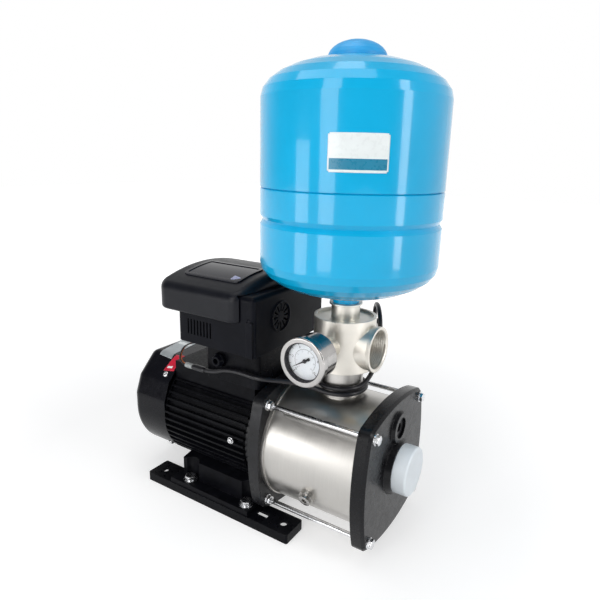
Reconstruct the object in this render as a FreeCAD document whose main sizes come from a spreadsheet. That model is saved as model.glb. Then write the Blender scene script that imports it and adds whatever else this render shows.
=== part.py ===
import FreeCAD, Part
import math
import os
import re
import Sketcher
from FreeCAD import Placement, Rotation, Vector

# Driving dimensions in millimetres: X runs along the shaft to the inlet, -Y is the gauge side, Z is up
# X = Y = 0 is the middle of the base's hole pattern
SIZES = {
    # Shaft line and base frame
    "shaft_height": 95,
    "base_start": -117,
    "base_length": 234,
    "base_half_width": 87,
    "base_height": 12,
    "base_sheet": 3,
    "base_corner": 2.5,
    "rail_width": 35,
    "web_start": -70,
    "web_length": 126,
    "mount_hole_radius": 4.5,
    "mount_hole_inset": 16,
    "mount_hole_offset": 70,
    "base_slot_start": 62,
    "base_slot_length": 16,
    "base_slot_width": 7,
    # Foot of the motor and its fasteners
    "foot_start": -74,
    "foot_length": 131,
    "foot_half_width": 86,
    "foot_thickness": 7,
    "foot_wall_offset": 70,
    "foot_wall_height": 26,
    "foot_neck_half": 46,
    "foot_wall_inset": 9,
    "foot_arch_half": 36,
    "foot_arch_height": 16,
    "foot_bolt_first": -48,
    "foot_bolt_pitch": 95,
    "foot_bolt_offset": 75,
    "foot_pocket_radius": 12,
    "bolt_radius": 4,
    "bolt_head_radius": 7.5,
    "bolt_head_height": 5.3,
    "nut_height": 6.3,
    "washer_radius": 9,
    "washer_thickness": 1.6,
    "hole_clearance": 0.5,
    # Motor
    "frame_start": -96,
    "frame_length": 136,
    "frame_root_radius": 65.5,
    "frame_bore_radius": 56,
    "fin_radius": 72,
    "fin_thickness": 2.4,
    "fin_count": 48,
    "top_pad_half": 48,
    "top_pad_height": 76,
    "core_inset": 27,
    "rotor_radius": 34,
    "air_gap": 0.5,
    "winding_length": 17,
    "winding_inner": 38,
    "winding_outer": 51,
    "shield_thickness": 16,
    "shield_hub_length": 18,
    "shield_hub_wall": 6,
    "screw_lug_length": 13.5,
    "rear_bearing_bore": 7.5,
    "rear_bearing_outer": 17.5,
    "rear_bearing_width": 11,
    "front_bearing_bore": 10,
    "front_bearing_outer": 23.5,
    "front_bearing_width": 14,
    "bearing_groove_depth": 0.8,
    "bearing_race_share": 0.3,
    "running_clearance": 0.05,
    "fit_gap": 0.3,
    "fan_cover_start": -160,
    "fan_cover_radius": 71.5,
    "fan_cover_wall": 1.5,
    "fan_cover_round": 14,
    "cover_side_height": 22,
    "cover_knee_half": 62,
    "cover_knee_height": 48,
    "cover_top_height": 76,
    "cover_edge_round": 12,
    "fan_slot_count": 24,
    "fan_slot_inner": 20,
    "fan_slot_outer": 50,
    "fan_slot_width": 3.4,
    "fan_screw_inset": 12,
    "screw_radius": 2,
    "screw_head_radius": 4,
    "screw_head_height": 2.6,
    "screw_length": 9,
    "motor_fan_start": -146,
    "motor_fan_length": 26,
    "motor_fan_radius": 58,
    "motor_fan_hub": 13,
    "motor_fan_plate": 36,
    "motor_fan_blades": 7,
    "blade_thickness": 2,
    # Stool between motor and pump
    "stool_radius": 68,
    "flange_thickness": 15,
    "flange_half": 84,
    "flange_bow": 235,
    "flange_corner": 13,
    # Shaft
    "shaft_back": -150,
    "shaft_rotor_radius": 12,
    "shaft_pump_radius": 7,
    "shaft_front": 188,
    "shaft_shoulder": 4,
    "shaft_step": 2,
    "shaft_clearance": 1,
    # Pump
    "sleeve_start": 72,
    "sleeve_length": 123,
    "sleeve_radius": 78,
    "sleeve_wall": 2,
    "sleeve_rim_width": 4,
    "sleeve_rim_height": 1.5,
    "stub_radius": 24.5,
    "stub_wall": 4,
    "stub_rise": 33,
    "drain_angle": 21,
    "drain_boss_radius": 9.5,
    "drain_boss_length": 5,
    "drain_plug_radius": 7.5,
    "drain_plug_proud": 4,
    "drain_thread_radius": 5.5,
    "drain_socket_radius": 3.5,
    "drain_socket_depth": 3,
    "stay_offset": 64,
    "stay_radius": 3,
    "stay_head_radius": 5.8,
    "stay_head_height": 4,
    "stay_washer_radius": 6.5,
    "cover_thickness": 16,
    "cover_bevel": 3,
    "cover_spigot_wall": 7,
    "cover_recess": 2,
    "inlet_boss_radius": 31,
    "inlet_boss_flare": 3,
    "inlet_boss_length": 7,
    "inlet_bore_radius": 22.4,
    "priming_offset": 50,
    "priming_boss_radius": 18,
    "priming_boss_flare": 2,
    "priming_boss_length": 4,
    "priming_bore_radius": 12.5,
    "priming_thread_radius": 9.5,
    "priming_seat_depth": 11,
    "priming_recess": 3,
    "priming_socket_radius": 6,
    "priming_socket_depth": 3,
    "plate_thickness": 8,
    "seal_outer": 15.5,
    "seal_length": 6,
    "seal_ring_radius": 12,
    "stage_start": 92,
    "stage_length": 22,
    "chamber_radius": 70,
    "chamber_wall": 2,
    "chamber_eye": 16,
    "impeller_radius": 58,
    "impeller_hub": 11,
    "impeller_vanes": 6,
    "shroud_thickness": 1.5,
    "back_shroud_at": 6.6,
    "front_shroud_at": 15.4,
    "vane_lean": 14.5,
    "seam_overlap": 0.5,
    "inlet_cap_radius": 29,
    "inlet_cap_length": 17,
    "inlet_cap_plug_length": 14,
    "inlet_cap_wall": 2.5,
    # Manifold, gauge and sensor
    "tank_axis": 136,
    "manifold_radius": 36.5,
    "manifold_length": 61.5,
    "manifold_wall": 6,
    "manifold_rim_width": 3.5,
    "manifold_rim_depth": 3,
    "manifold_spigot_length": 14,
    "manifold_spigot_wall": 5,
    "port_rise": 27,
    "gauge_rise": 31,
    "outlet_front": 44.5,
    "outlet_root_start": 22,
    "outlet_root_radius": 26.7,
    "outlet_neck_radius": 25,
    "outlet_ring_radius": 26.6,
    "outlet_ring_length": 4,
    "outlet_thread_radius": 22.4,
    "outlet_thread_length": 18,
    "outlet_bevel": 1.2,
    "gauge_boss_radius": 13,
    "gauge_boss_reach": 48,
    "small_port_radius": 6.5,
    "gauge_front": 94,
    "gauge_case_back": 62,
    "gauge_case_radius": 25,
    "gauge_case_wall": 1.2,
    "gauge_bezel_radius": 27.4,
    "gauge_bezel_length": 8,
    "gauge_bezel_lip": 5.6,
    "gauge_bezel_round": 1.8,
    "gauge_glass_depth": 1.5,
    "gauge_glass_thickness": 2,
    "gauge_glass_step": 1,
    "gauge_dial_depth": 7.5,
    "gauge_dial_thickness": 1,
    "gauge_stem_hex": 8,
    "pointer_length": 15,
    "pointer_tail": 6,
    "pointer_width": 1.4,
    "pointer_thickness": 0.8,
    "pointer_rest_angle": 211,
    "arbor_radius": 1.2,
    "arbor_length": 6,
    "movement_radius": 12,
    "pressure_hole_radius": 2,
    "sensor_hex_radius": 12,
    "sensor_hex_length": 8,
    "sensor_body_radius": 9,
    "sensor_body_length": 20,
    "sensor_plug_radius": 8,
    "sensor_plug_length": 13,
    "sensor_plug_exit": 9,
    # Diaphragm tank
    "nipple_radius": 16.6,
    "nipple_length": 16.5,
    "nipple_flange_radius": 19.2,
    "nipple_flange_length": 2,
    "nipple_bore_radius": 9,
    "nipple_top_radius": 12.5,
    "nipple_thread_length": 13,
    "tank_neck_radius": 15,
    "tank_neck_length": 9,
    "tank_collar_inside": 5,
    "tank_radius": 100,
    "tank_wall": 1.5,
    "tank_dish": 40,
    "tank_groove_rise": 46,
    "tank_groove_depth": 3,
    "tank_groove_half": 5,
    "tank_seam_rise": 34,
    "tank_lap": 12,
    "tank_shoulder_rise": 91,
    "tank_dome": 40,
    "bladder_gap": 4,
    "bladder_wall": 2,
    "air_valve_radius": 4,
    "air_valve_height": 11,
    "valve_cap_radius": 31,
    "valve_cap_height": 18,
    "valve_cap_wall": 2,
    # Drive on top of the motor
    "neck_start": -29,
    "neck_length": 83,
    "neck_half": 60,
    "neck_wall": 4,
    "box_start": -46,
    "box_end": 70,
    "box_front": -89,
    "box_back": 61,
    "neck_height": 53,
    "box_height": 70,
    "box_wall": 3,
    "box_round": 5,
    "box_top_round": 6,
    "grille_radius": 17,
    "grille_front": -37,
    "grille_rise": 38,
    "grille_slot_inner": 6.5,
    "grille_rim": 1,
    "grille_slots": 12,
    "vent_count": 8,
    "vent_first": -30,
    "vent_pitch": 5,
    "vent_width": 2.2,
    "vent_rise": 11,
    "vent_height": 19,
    "rib_width": 9,
    "rib_depth": 1.5,
    "rib_height": 42,
    "hood_start": -75,
    "hood_end": 55,
    "hood_front": -97,
    "hood_back": 69,
    "hood_skirt": 32,
    "hood_arch_radius": 225,
    "hood_rise": 16,
    "hood_wall": 3,
    "hood_round": 11,
    "hood_lip_round": 4,
    "hood_plan_round": 18,
    "panel_start": -52,
    "panel_end": 34,
    "panel_front": -72,
    "panel_depth": 52,
    "panel_frame_width": 4,
    "panel_frame_height": 1.6,
    "panel_window_height": 0.8,
    "panel_round": 6,
    "board_thickness": 1.6,
    "sink_base": 6,
    "sink_height": 26,
    "sink_fins": 9,
    "fan_rotor_radius": 14.5,
    "fan_rotor_hub": 6,
    "fan_rotor_plate": 9,
    "fan_rotor_bore": 2,
    "fan_rotor_length": 8,
    "fan_rotor_blades": 7,
    "gland_place": -4,
    "gland_rise": 27,
    "gland_radius": 9.5,
    "gland_dome_radius": 8,
    "gland_tip_radius": 6.2,
    "gland_bore_radius": 3.8,
    "gland_length": 10,
    # Sensor cable
    "cable_radius": 2.8,
    "cable_wrap_radius": 31,
    "cable_sleeve_radius": 4,
    "cable_sleeve_length": 20,
    "cable_ferrule_radius": 3.5,
    "cable_ferrule_length": 12,
    "wire_radius": 0.9,
    "cable_front": 66,
    "cable_end": -26,
    "cable_end_rise": 9,
    "wire_step": 10,
    "wire_entry": 56,
    "wrap_drop": 19,
    "wrap_pitch": 7,
}

# Places that follow from the sizes above
DERIVED = {
    "core_start": "frame_start + core_inset",
    "core_length": "frame_length - 2 * core_inset",
    "pad_top": "shaft_height + top_pad_height",
    "box_bottom": "pad_top + neck_height",
    "box_top": "box_bottom + box_height",
    "grille_height": "box_bottom + grille_rise",
    "vent_bottom": "box_bottom + vent_rise",
    "gland_height": "pad_top + gland_rise",
    "hood_bottom": "box_top - hood_skirt",
    "hood_crown": "box_top + hood_rise",
    "cable_end_height": "pad_top + cable_end_rise",
    "stub_top": "shaft_height + sleeve_radius + stub_rise",
    "wrap_top": "stub_top - wrap_drop",
    "port_height": "stub_top + port_rise",
    "gauge_height": "stub_top + gauge_rise",
    "manifold_top": "stub_top + manifold_length",
    "manifold_face": "manifold_top - manifold_rim_depth",
    "nipple_top": "manifold_face + nipple_length + nipple_flange_length",
    "tank_bottom": "nipple_top + tank_neck_length",
    "tank_collar_top": "tank_bottom + tank_collar_inside",
    "tank_bottom_knuckle": "tank_bottom + tank_dish",
    "tank_groove_height": "tank_bottom_knuckle + tank_groove_rise",
    "tank_seam": "tank_groove_height + tank_seam_rise",
    "tank_shoulder": "tank_seam + tank_shoulder_rise",
    "tank_crown": "tank_shoulder + tank_dome",
    "valve_cap_top": "tank_crown + valve_cap_height",
}

# Directions of a piece's own Z axis
TURNS = {
    "z": Rotation(),
    "x": Rotation(Vector(1, 1, 1), 120),
    "-y": Rotation(Vector(1, 0, 0), 90),
    "y": Rotation(Vector(1, 0, 0), -90),
}

DOC = FreeCAD.newDocument("BoosterPump")
NODES = []


def make_sheet():
    """Writes the driving dimensions and the places that follow from them into the spreadsheet."""
    sheet = DOC.addObject("Spreadsheet::Sheet", "Sizes")
    cells = list(SIZES.items()) + [(alias, f"={text}") for alias, text in DERIVED.items()]
    for row, (alias, content) in enumerate(cells, 1):
        sheet.set(f"A{row}", alias)
        sheet.set(f"B{row}", str(content))
        sheet.setAlias(f"B{row}", alias)
    DOC.recompute()
    return sheet


SHEET = make_sheet()

# Two positions closer than this count as the same
SAME = 0.01


def formula(text):
    """Turns the names of sizes in a formula into references to the sheet's cells."""
    def cell(match):
        word = match.group()
        return f"Sizes.{word}" if word in SIZES or word in DERIVED else word
    return re.sub(r"[a-z][a-z_0-9]*", cell, str(text))


def number(text):
    """Present value of a formula."""
    result = SHEET.evalExpression(formula(text))
    return float(getattr(result, "Value", result))


def bind(thing, prop, text):
    thing.setExpression(prop, formula(text))


def place(thing, spot, turn="z"):
    """Puts a piece at a spot given by three formulas, with its Z axis turned."""
    thing.Placement = Placement(Vector(*[number(part) for part in spot]), TURNS[turn])
    for axis, part in zip("xyz", spot):
        bind(thing, f"Placement.Base.{axis}", part)


def node(thing, name):
    """Marks an object as a sub-part and gives it the name of its file."""
    thing.Label = name
    NODES.append(thing)
    return thing


# Sketches and body features

def new_body(name):
    return DOC.addObject("PartDesign::Body", f"{name}_body")


def origin_plane(body, role):
    return next(item for item in body.Origin.OriginFeatures if item.Role == role)


def new_sketch(body, role="XY_Plane", shift="0"):
    sketch = body.newObject("Sketcher::SketchObject", f"{body.Name}_sketch")
    sketch.AttachmentSupport = (origin_plane(body, role), [""])
    sketch.MapMode = "FlatFace"
    bind(sketch, "AttachmentOffset.Base.z", shift)
    return sketch


def pin(sketch, geometry, point, u, v):
    """Holds a point of a sketch where two formulas say."""
    for kind, text, axis in (("DistanceX", u, -2), ("DistanceY", v, -1)):
        if text == "0":
            sketch.addConstraint(Sketcher.Constraint("PointOnObject", geometry, point, axis))
            continue
        index = sketch.addConstraint(Sketcher.Constraint(kind, -1, 1, geometry, point, number(text)))
        bind(sketch, f"Constraints[{index}]", text)


def draw_loop(sketch, corners):
    """Draws a closed loop of straight edges through the corners."""
    first = sketch.GeometryCount
    spots = [Vector(number(u), number(v), 0) for u, v in corners]
    for start, end in zip(spots, spots[1:] + spots[:1]):
        sketch.addGeometry(Part.LineSegment(start, end), False)
    for index in range(len(spots)):
        following = first + (index + 1) % len(spots)
        sketch.addConstraint(Sketcher.Constraint("Coincident", first + index, 2, following, 1))
    for index, (u, v) in enumerate(corners):
        pin(sketch, first + index, 1, u, v)


def draw_circle(sketch, u, v, radius):
    circle = Part.Circle(Vector(number(u), number(v), 0), Vector(0, 0, 1), number(radius))
    geometry = sketch.addGeometry(circle, False)
    pin(sketch, geometry, 3, u, v)
    index = sketch.addConstraint(Sketcher.Constraint("Radius", geometry, number(radius)))
    bind(sketch, f"Constraints[{index}]", radius)


def pad(body, sketch, length):
    feature = body.newObject("PartDesign::Pad", f"{body.Name}_pad")
    feature.Profile = sketch
    bind(feature, "Length", length)
    DOC.recompute()
    return feature


def pocket(body, sketch, length):
    """Cuts from the sketch's plane along its normal and checks that it cut."""
    before = body.Shape.Volume
    feature = body.newObject("PartDesign::Pocket", f"{body.Name}_pocket")
    feature.Profile = sketch
    feature.Reversed = True
    bind(feature, "Length", length)
    DOC.recompute()
    if body.Shape.Volume >= before:
        raise RuntimeError(f"{feature.Name} cuts nothing")
    return feature


def repeat_round(body, feature, sketch, count):
    """Repeats a feature round the normal of its sketch."""
    pattern = body.newObject("PartDesign::PolarPattern", f"{body.Name}_pattern")
    pattern.Originals = [feature]
    pattern.Axis = (sketch, ["N_Axis"])
    pattern.Angle = 360
    bind(pattern, "Occurrences", count)
    body.Tip = pattern
    DOC.recompute()


def turned(name, profile, spot=("0", "0", "0"), turn="z"):
    """Revolves a profile of radius and height pairs about the piece's Z axis."""
    body = new_body(name)
    sketch = new_sketch(body, "XZ_Plane")
    draw_loop(sketch, profile)
    feature = body.newObject("PartDesign::Revolution", f"{name}_turn")
    feature.Profile = sketch
    feature.ReferenceAxis = (sketch, ["V_Axis"])
    feature.Angle = 360
    place(body, spot, turn)
    DOC.recompute()
    return body


def round_rings(body, rings, radius, kind="Fillet"):
    """Rounds or bevels the circular edges of a turned piece that lie at the given radii and heights."""
    base = body.Tip
    names = []
    for index, edge in enumerate(base.Shape.Edges, 1):
        if not isinstance(edge.Curve, Part.Circle):
            continue
        for ring_radius, height in rings:
            near = abs(edge.Curve.Radius - number(ring_radius)) < SAME
            if near and abs(edge.Curve.Center.z - number(height)) < SAME:
                names.append(f"Edge{index}")
    feature = body.newObject(f"PartDesign::{kind}", f"{body.Name}_{kind.lower()}")
    feature.Base = (base, names)
    bind(feature, "Size" if kind == "Chamfer" else "Radius", radius)
    DOC.recompute()


# Simple solids and booleans

def box(x, y, z):
    """Block between pairs of formulas."""
    block = DOC.addObject("Part::Box", "block")
    for prop, (low, high) in (("Length", x), ("Width", y), ("Height", z)):
        bind(block, prop, f"({high}) - ({low})")
    place(block, (x[0], y[0], z[0]))
    return block


def rod(spot, turn, radius, length):
    cylinder = DOC.addObject("Part::Cylinder", "rod")
    bind(cylinder, "Radius", radius)
    bind(cylinder, "Height", length)
    place(cylinder, spot, turn)
    return cylinder


def hex_rod(spot, turn, radius, length):
    prism = DOC.addObject("Part::Prism", "hex_rod")
    prism.Polygon = 6
    bind(prism, "Circumradius", radius)
    bind(prism, "Height", length)
    place(prism, spot, turn)
    return prism


def cone(spot, turn, radius_low, radius_high, length):
    frustum = DOC.addObject("Part::Cone", "cone")
    bind(frustum, "Radius1", radius_low)
    bind(frustum, "Radius2", radius_high)
    bind(frustum, "Height", length)
    place(frustum, spot, turn)
    return frustum


def joined(pieces, kind="Part::MultiFuse"):
    whole = DOC.addObject(kind, "joined")
    whole.Shapes = pieces
    return whole


def carved(base, cutters):
    tool = cutters[0] if len(cutters) == 1 else joined(cutters)
    result = DOC.addObject("Part::Cut", "carved")
    result.Base = base
    result.Tool = tool
    return result


def grouped(pieces):
    """Keeps separate solids together as one sub-part."""
    group = DOC.addObject("Part::Compound", "grouped")
    group.Links = pieces
    return group


def eased(base, wanted, radius, kind="Part::Fillet"):
    """Rounds or bevels the edges that the test picks."""
    DOC.recompute()
    size = number(radius)
    edges = [(index, size, size) for index, edge in enumerate(base.Shape.Edges, 1) if wanted(edge)]
    result = DOC.addObject(kind, "eased")
    result.Base = base
    result.Edges = edges
    return result


def along(edge, axis):
    """True for a straight edge that runs along one axis."""
    if not isinstance(edge.Curve, (Part.Line, Part.LineSegment)):
        return False
    step = edge.Curve.Direction
    return abs(getattr(step, axis)) > 1 - SAME ** 2


def at_height(edge, axis, text):
    box_of_edge = edge.BoundBox
    low = getattr(box_of_edge, f"{axis.upper()}Min")
    high = getattr(box_of_edge, f"{axis.upper()}Max")
    return abs(low - number(text)) < SAME and abs(high - number(text)) < SAME


# Shared formulas
BASE_END = "base_start + base_length"
RAIL_INNER = "base_half_width - rail_width"
FOOT_TOP = "base_height + foot_thickness"
FOOT_END = "foot_start + foot_length"
FRAME_END = "frame_start + frame_length"
CORE_END = "core_start + core_length"
FLANGE_START = "sleeve_start - flange_thickness"
SLEEVE_END = "sleeve_start + sleeve_length"
SLEEVE_BORE = "sleeve_radius - sleeve_wall"
COVER_FACE = "sleeve_start + sleeve_length + cover_thickness"
PRIMING_SEAT = f"{COVER_FACE} + priming_boss_length - priming_seat_depth"
SPIGOT_RADIUS = "sleeve_radius - sleeve_wall - fit_gap"
STAGES = 4
STAGES_END = f"stage_start + {STAGES} * stage_length"
BOLT_SPOTS = [(x, f"{side} * foot_bolt_offset")
              for x in ("foot_bolt_first", "foot_bolt_first + foot_bolt_pitch") for side in (-1, 1)]
STAY_SPOTS = [(f"{side} * stay_offset", f"shaft_height + {rise} * stay_offset")
              for side in (-1, 1) for rise in (-1, 1)]


# Base frame and its fasteners

def base_outline(inset):
    """Outline of two rails joined by a web, moved inwards by the inset."""
    low, high = f"base_start + {inset}", f"{BASE_END} - {inset}"
    web_low, web_high = f"web_start + {inset}", f"web_start + web_length - {inset}"
    outer, inner = f"base_half_width - {inset}", f"{RAIL_INNER} + {inset}"
    front = [(low, f"-({outer})"), (high, f"-({outer})"), (high, f"-({inner})"), (web_high, f"-({inner})")]
    back = [(web_high, inner), (high, inner), (high, outer), (low, outer), (low, inner), (web_low, inner)]
    return front + back + [(web_low, f"-({inner})"), (low, f"-({inner})")]


def base_frame():
    body = new_body("base_frame")
    sketch = new_sketch(body)
    draw_loop(sketch, base_outline("0"))
    plate = pad(body, sketch, "base_height")
    ends = [number("base_start"), number(BASE_END)]
    corners = [f"Edge{index}" for index, edge in enumerate(plate.Shape.Edges, 1)
               if along(edge, "z") and min(abs(edge.Vertexes[0].X - end) for end in ends) < SAME]
    rounding = body.newObject("PartDesign::Fillet", "base_corners")
    rounding.Base = (plate, corners)
    bind(rounding, "Radius", "base_corner")
    DOC.recompute()
    hollow = new_sketch(body)
    draw_loop(hollow, base_outline("base_sheet"))
    pocket(body, hollow, "base_height - base_sheet")
    holes = new_sketch(body)
    for x in ("base_start + mount_hole_inset", f"{BASE_END} - mount_hole_inset"):
        for side in (-1, 1):
            draw_circle(holes, x, f"{side} * mount_hole_offset", "mount_hole_radius")
    for x, y in BOLT_SPOTS:
        draw_circle(holes, x, y, "bolt_radius + hole_clearance")
    pocket(body, holes, "base_height")
    slots = new_sketch(body)
    for side in (-1, 1):
        low = f"{side} * mount_hole_offset - base_slot_width / 2"
        high = f"{side} * mount_hole_offset + base_slot_width / 2"
        start, end = "base_slot_start", "base_slot_start + base_slot_length"
        draw_loop(slots, [(start, low), (end, low), (end, high), (start, high)])
    pocket(body, slots, "base_height")
    place(body, ("0", "0", "0"))
    node(body, "base_frame")


def foot_fasteners():
    """Bolts with their washers, and the nuts under the plate."""
    bolts, washers, nuts = [], [], []
    nut_bottom = "base_height - base_sheet - nut_height"
    for x, y in BOLT_SPOTS:
        washer = rod((x, y, FOOT_TOP), "z", "washer_radius", "washer_thickness")
        hole = rod((x, y, FOOT_TOP), "z", "bolt_radius", "washer_thickness")
        washers.append(carved(washer, [hole]))
        head = hex_rod((x, y, f"{FOOT_TOP} + washer_thickness"), "z", "bolt_head_radius", "bolt_head_height")
        shank_length = f"{FOOT_TOP} + washer_thickness - ({nut_bottom})"
        bolts.append(joined([head, rod((x, y, nut_bottom), "z", "bolt_radius", shank_length)]))
        nut = hex_rod((x, y, nut_bottom), "z", "bolt_head_radius", "nut_height")
        nuts.append(carved(nut, [rod((x, y, nut_bottom), "z", "bolt_radius", "nut_height")]))
    node(grouped(bolts), "foot_bolts")
    node(grouped(washers), "foot_washers")
    node(grouped(nuts), "foot_nuts")


# Motor

def motor_frame():
    """Finned barrel with a flat pad on top and a cast foot."""
    body = new_body("motor_frame")
    barrel = new_sketch(body)
    draw_circle(barrel, "0", "0", "frame_root_radius")
    pad(body, barrel, "frame_length")
    fin = new_sketch(body)
    half = "fin_thickness / 2"
    root = "frame_root_radius - fin_thickness"
    draw_loop(fin, [(root, f"-({half})"), ("fin_radius", f"-({half})"), ("fin_radius", half), (root, half)])
    repeat_round(body, pad(body, fin, "frame_length"), fin, "fin_count")
    top = new_sketch(body)
    draw_loop(top, [("-top_pad_half", "0"), ("top_pad_half", "0"),
                    ("top_pad_half", "top_pad_height"), ("-top_pad_half", "top_pad_height")])
    pad(body, top, "frame_length")
    place(body, ("frame_start", "0", "shaft_height"), "x")
    foot = [new_body("motor_foot"), new_body("motor_foot_wall")]
    low, step = "base_height - shaft_height", f"{FOOT_TOP} - shaft_height"
    knee = f"{step} + foot_wall_height"
    sole_half = [("foot_half_width", low), ("foot_half_width", step)]
    wall_half = [("foot_wall_offset", low), ("foot_wall_offset", knee), ("foot_neck_half", "-foot_neck_half")]
    for part, half, inset_end in zip(foot, (sole_half, wall_half), ("0", "foot_wall_inset")):
        section = new_sketch(part)
        draw_loop(section, half + [(f"-({u})", v) for u, v in reversed(half)])
        pad(part, section, f"foot_length - {inset_end}")
        place(part, (f"foot_start + {inset_end}", "0", "shaft_height"), "x")
    clear = [rod(("frame_start", "0", "shaft_height"), "x", "frame_bore_radius", "frame_length"),
             rod((FRAME_END, "0", "shaft_height"), "x", "stool_radius + fit_gap", f"{FOOT_END} - ({FRAME_END})"),
             box(("foot_start", FOOT_END), ("-foot_arch_half", "foot_arch_half"),
                 ("base_height", "base_height + foot_arch_height"))]
    for x, y in BOLT_SPOTS:
        clear.append(rod((x, y, FOOT_TOP), "z", "foot_pocket_radius", "foot_wall_height * 1.5"))
        clear.append(rod((x, y, "base_height"), "z", "bolt_radius + hole_clearance", "foot_thickness"))
    node(carved(joined([body] + foot), clear), "motor_frame")


def stator_and_rotor():
    core = turned("stator_core", [("rotor_radius + air_gap", "core_start"), ("frame_bore_radius", "core_start"),
                                  ("frame_bore_radius", CORE_END), ("rotor_radius + air_gap", CORE_END)],
                  ("0", "0", "shaft_height"), "x")
    node(core, "stator_core")
    rings = []
    for start in ("core_start - winding_length", CORE_END):
        end = f"{start} + winding_length"
        ring = turned("winding", [("winding_inner", start), ("winding_outer", start),
                                  ("winding_outer", end), ("winding_inner", end)], ("0", "0", "shaft_height"), "x")
        round_rings(ring, [("winding_inner", start), ("winding_outer", start), ("winding_inner", end),
                           ("winding_outer", end)], "winding_length / 5", "Chamfer")
        rings.append(ring)
    node(grouped(rings), "stator_windings")
    rotor = turned("rotor_core", [("shaft_rotor_radius", "core_start"), ("rotor_radius", "core_start"),
                                  ("rotor_radius", CORE_END), ("shaft_rotor_radius", CORE_END)],
                   ("0", "0", "shaft_height"), "x")
    node(rotor, "rotor_core")


SHIELD_START = "frame_start - shield_thickness"
REAR_BEARING_START = "frame_start - shield_hub_length + shield_thickness / 4"
FRONT_BEARING_START = FRAME_END


def bearing(name, start, bore, outer, width):
    """Closed ball bearing with a shallow shield groove in each face."""
    race = f"({outer} - {bore}) * bearing_race_share"
    low, high = f"{bore} + {race}", f"{outer} - {race}"
    end = f"{start} + {width}"
    deep_start, deep_end = f"{start} + bearing_groove_depth", f"{end} - bearing_groove_depth"
    profile = [(f"{bore} + running_clearance", start), (low, start), (low, deep_start), (high, deep_start),
               (high, start), (outer, start), (outer, end), (high, end), (high, deep_end), (low, deep_end),
               (low, end), (f"{bore} + running_clearance", end)]
    node(turned(name, profile, ("0", "0", "shaft_height"), "x"), name)


def bearings():
    bearing("rear_bearing", REAR_BEARING_START, "rear_bearing_bore", "rear_bearing_outer", "rear_bearing_width")
    bearing("front_bearing", FRONT_BEARING_START, "front_bearing_bore", "front_bearing_outer", "front_bearing_width")


def rear_shield():
    hub_start = "frame_start - shield_hub_length"
    seat_end = f"{REAR_BEARING_START} + rear_bearing_width"
    rim = "fan_cover_radius - fan_cover_wall - fit_gap"
    hub = "rear_bearing_outer + shield_hub_wall"
    profile = [("rear_bearing_outer", hub_start), (hub, hub_start), (hub, SHIELD_START), (rim, SHIELD_START),
               (rim, "frame_start"), ("shaft_rotor_radius + fit_gap", "frame_start"),
               ("shaft_rotor_radius + fit_gap", seat_end), ("rear_bearing_outer", seat_end)]
    shield = turned("rear_shield", profile, ("0", "0", "shaft_height"), "x")
    lugs = screw_rods("screw_head_radius", "fan_cover_radius - screw_lug_length",
                      "screw_lug_length - fan_cover_wall - fit_gap", (SCREW_TURNS[0], SCREW_TURNS[-1]))
    holes = screw_rods("screw_radius", "fan_cover_radius - screw_length", "screw_length")
    node(carved(joined([shield] + lugs), holes), "rear_shield")


FAN_SCREW_X = "frame_start - fan_screw_inset"
SCREW_TURNS = [Rotation(Vector(1, 0, 0), angle) for angle in (45, 135, 225, 315)]


def screw_rods(radius, start, length, turns=SCREW_TURNS):
    """Rods on the axes of the four fan cover screws, the upper two further out where the cover swells."""
    rods = []
    for tilt in turns:
        piece = rod(("0", "0", "0"), "z", radius, length)
        piece.Placement = Placement(Vector(), tilt)
        out = tilt.multVec(Vector(0, 0, 1))
        swell = "(cover_knee_half + cover_knee_height) * cos(45 deg) - fan_cover_radius"
        reach = f"({start} + {swell})" if out.z > 0 else f"({start})"
        bind(piece, "Placement.Base.x", FAN_SCREW_X)
        bind(piece, "Placement.Base.y", f"{reach} * {out.y:.6f}")
        bind(piece, "Placement.Base.z", f"shaft_height + {reach} * {out.z:.6f}")
        rods.append(piece)
    return rods


def cover_block(start, end, wall, rounding):
    """Rounded block: a barrel with a flat-topped upper half, its outline moved inwards by a wall."""
    top_half = "(cover_knee_half + cover_knee_height - cover_top_height)"
    barrel = rod((start, "0", "shaft_height"), "x", f"fan_cover_radius - {wall}", f"{end} - ({start})")
    share = f"(1 - {wall} / fan_cover_radius)"
    half = [("fan_cover_radius", "0"), ("fan_cover_radius", "cover_side_height"),
            ("cover_knee_half", "cover_knee_height"), (top_half, "cover_top_height")]
    half = [(f"{u} * {share}", f"{v} * {share}" if v != "0" else v) for u, v in half]
    upper = new_body("cover_upper")
    outline = new_sketch(upper)
    draw_loop(outline, half + [(f"-({u})", v) for u, v in reversed(half)])
    pad(upper, outline, f"{end} - ({start})")
    place(upper, (start, "0", "shaft_height"), "x")
    above = number("shaft_height + cover_side_height / 2")
    upper = eased(upper, lambda edge: along(edge, "x") and edge.BoundBox.ZMin > above, f"cover_edge_round - {wall}")
    return eased(joined([barrel, upper]), lambda edge: at_height(edge, "x", start), rounding)


def fan_cover():
    """Deep drawn cover with radial air slots in its closed end."""
    end = "frame_start - fit_gap"
    whole = cover_block("fan_cover_start", end, "0", "fan_cover_round")
    room = cover_block("fan_cover_start + fan_cover_wall", end, "fan_cover_wall", "fan_cover_round - fan_cover_wall")
    slots = slot_ring("fan_cover_slots", "fan_slot_inner", "fan_slot_outer", "fan_slot_width", "fan_slot_count",
                      "fan_cover_wall * 3")
    place(slots, ("fan_cover_start - fan_cover_wall", "0", "shaft_height"), "x")
    holes = screw_rods("screw_radius + running_clearance", "fan_cover_radius - screw_length", "screw_length * 2")
    node(carved(whole, [room, slots] + holes), "fan_cover")


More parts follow.
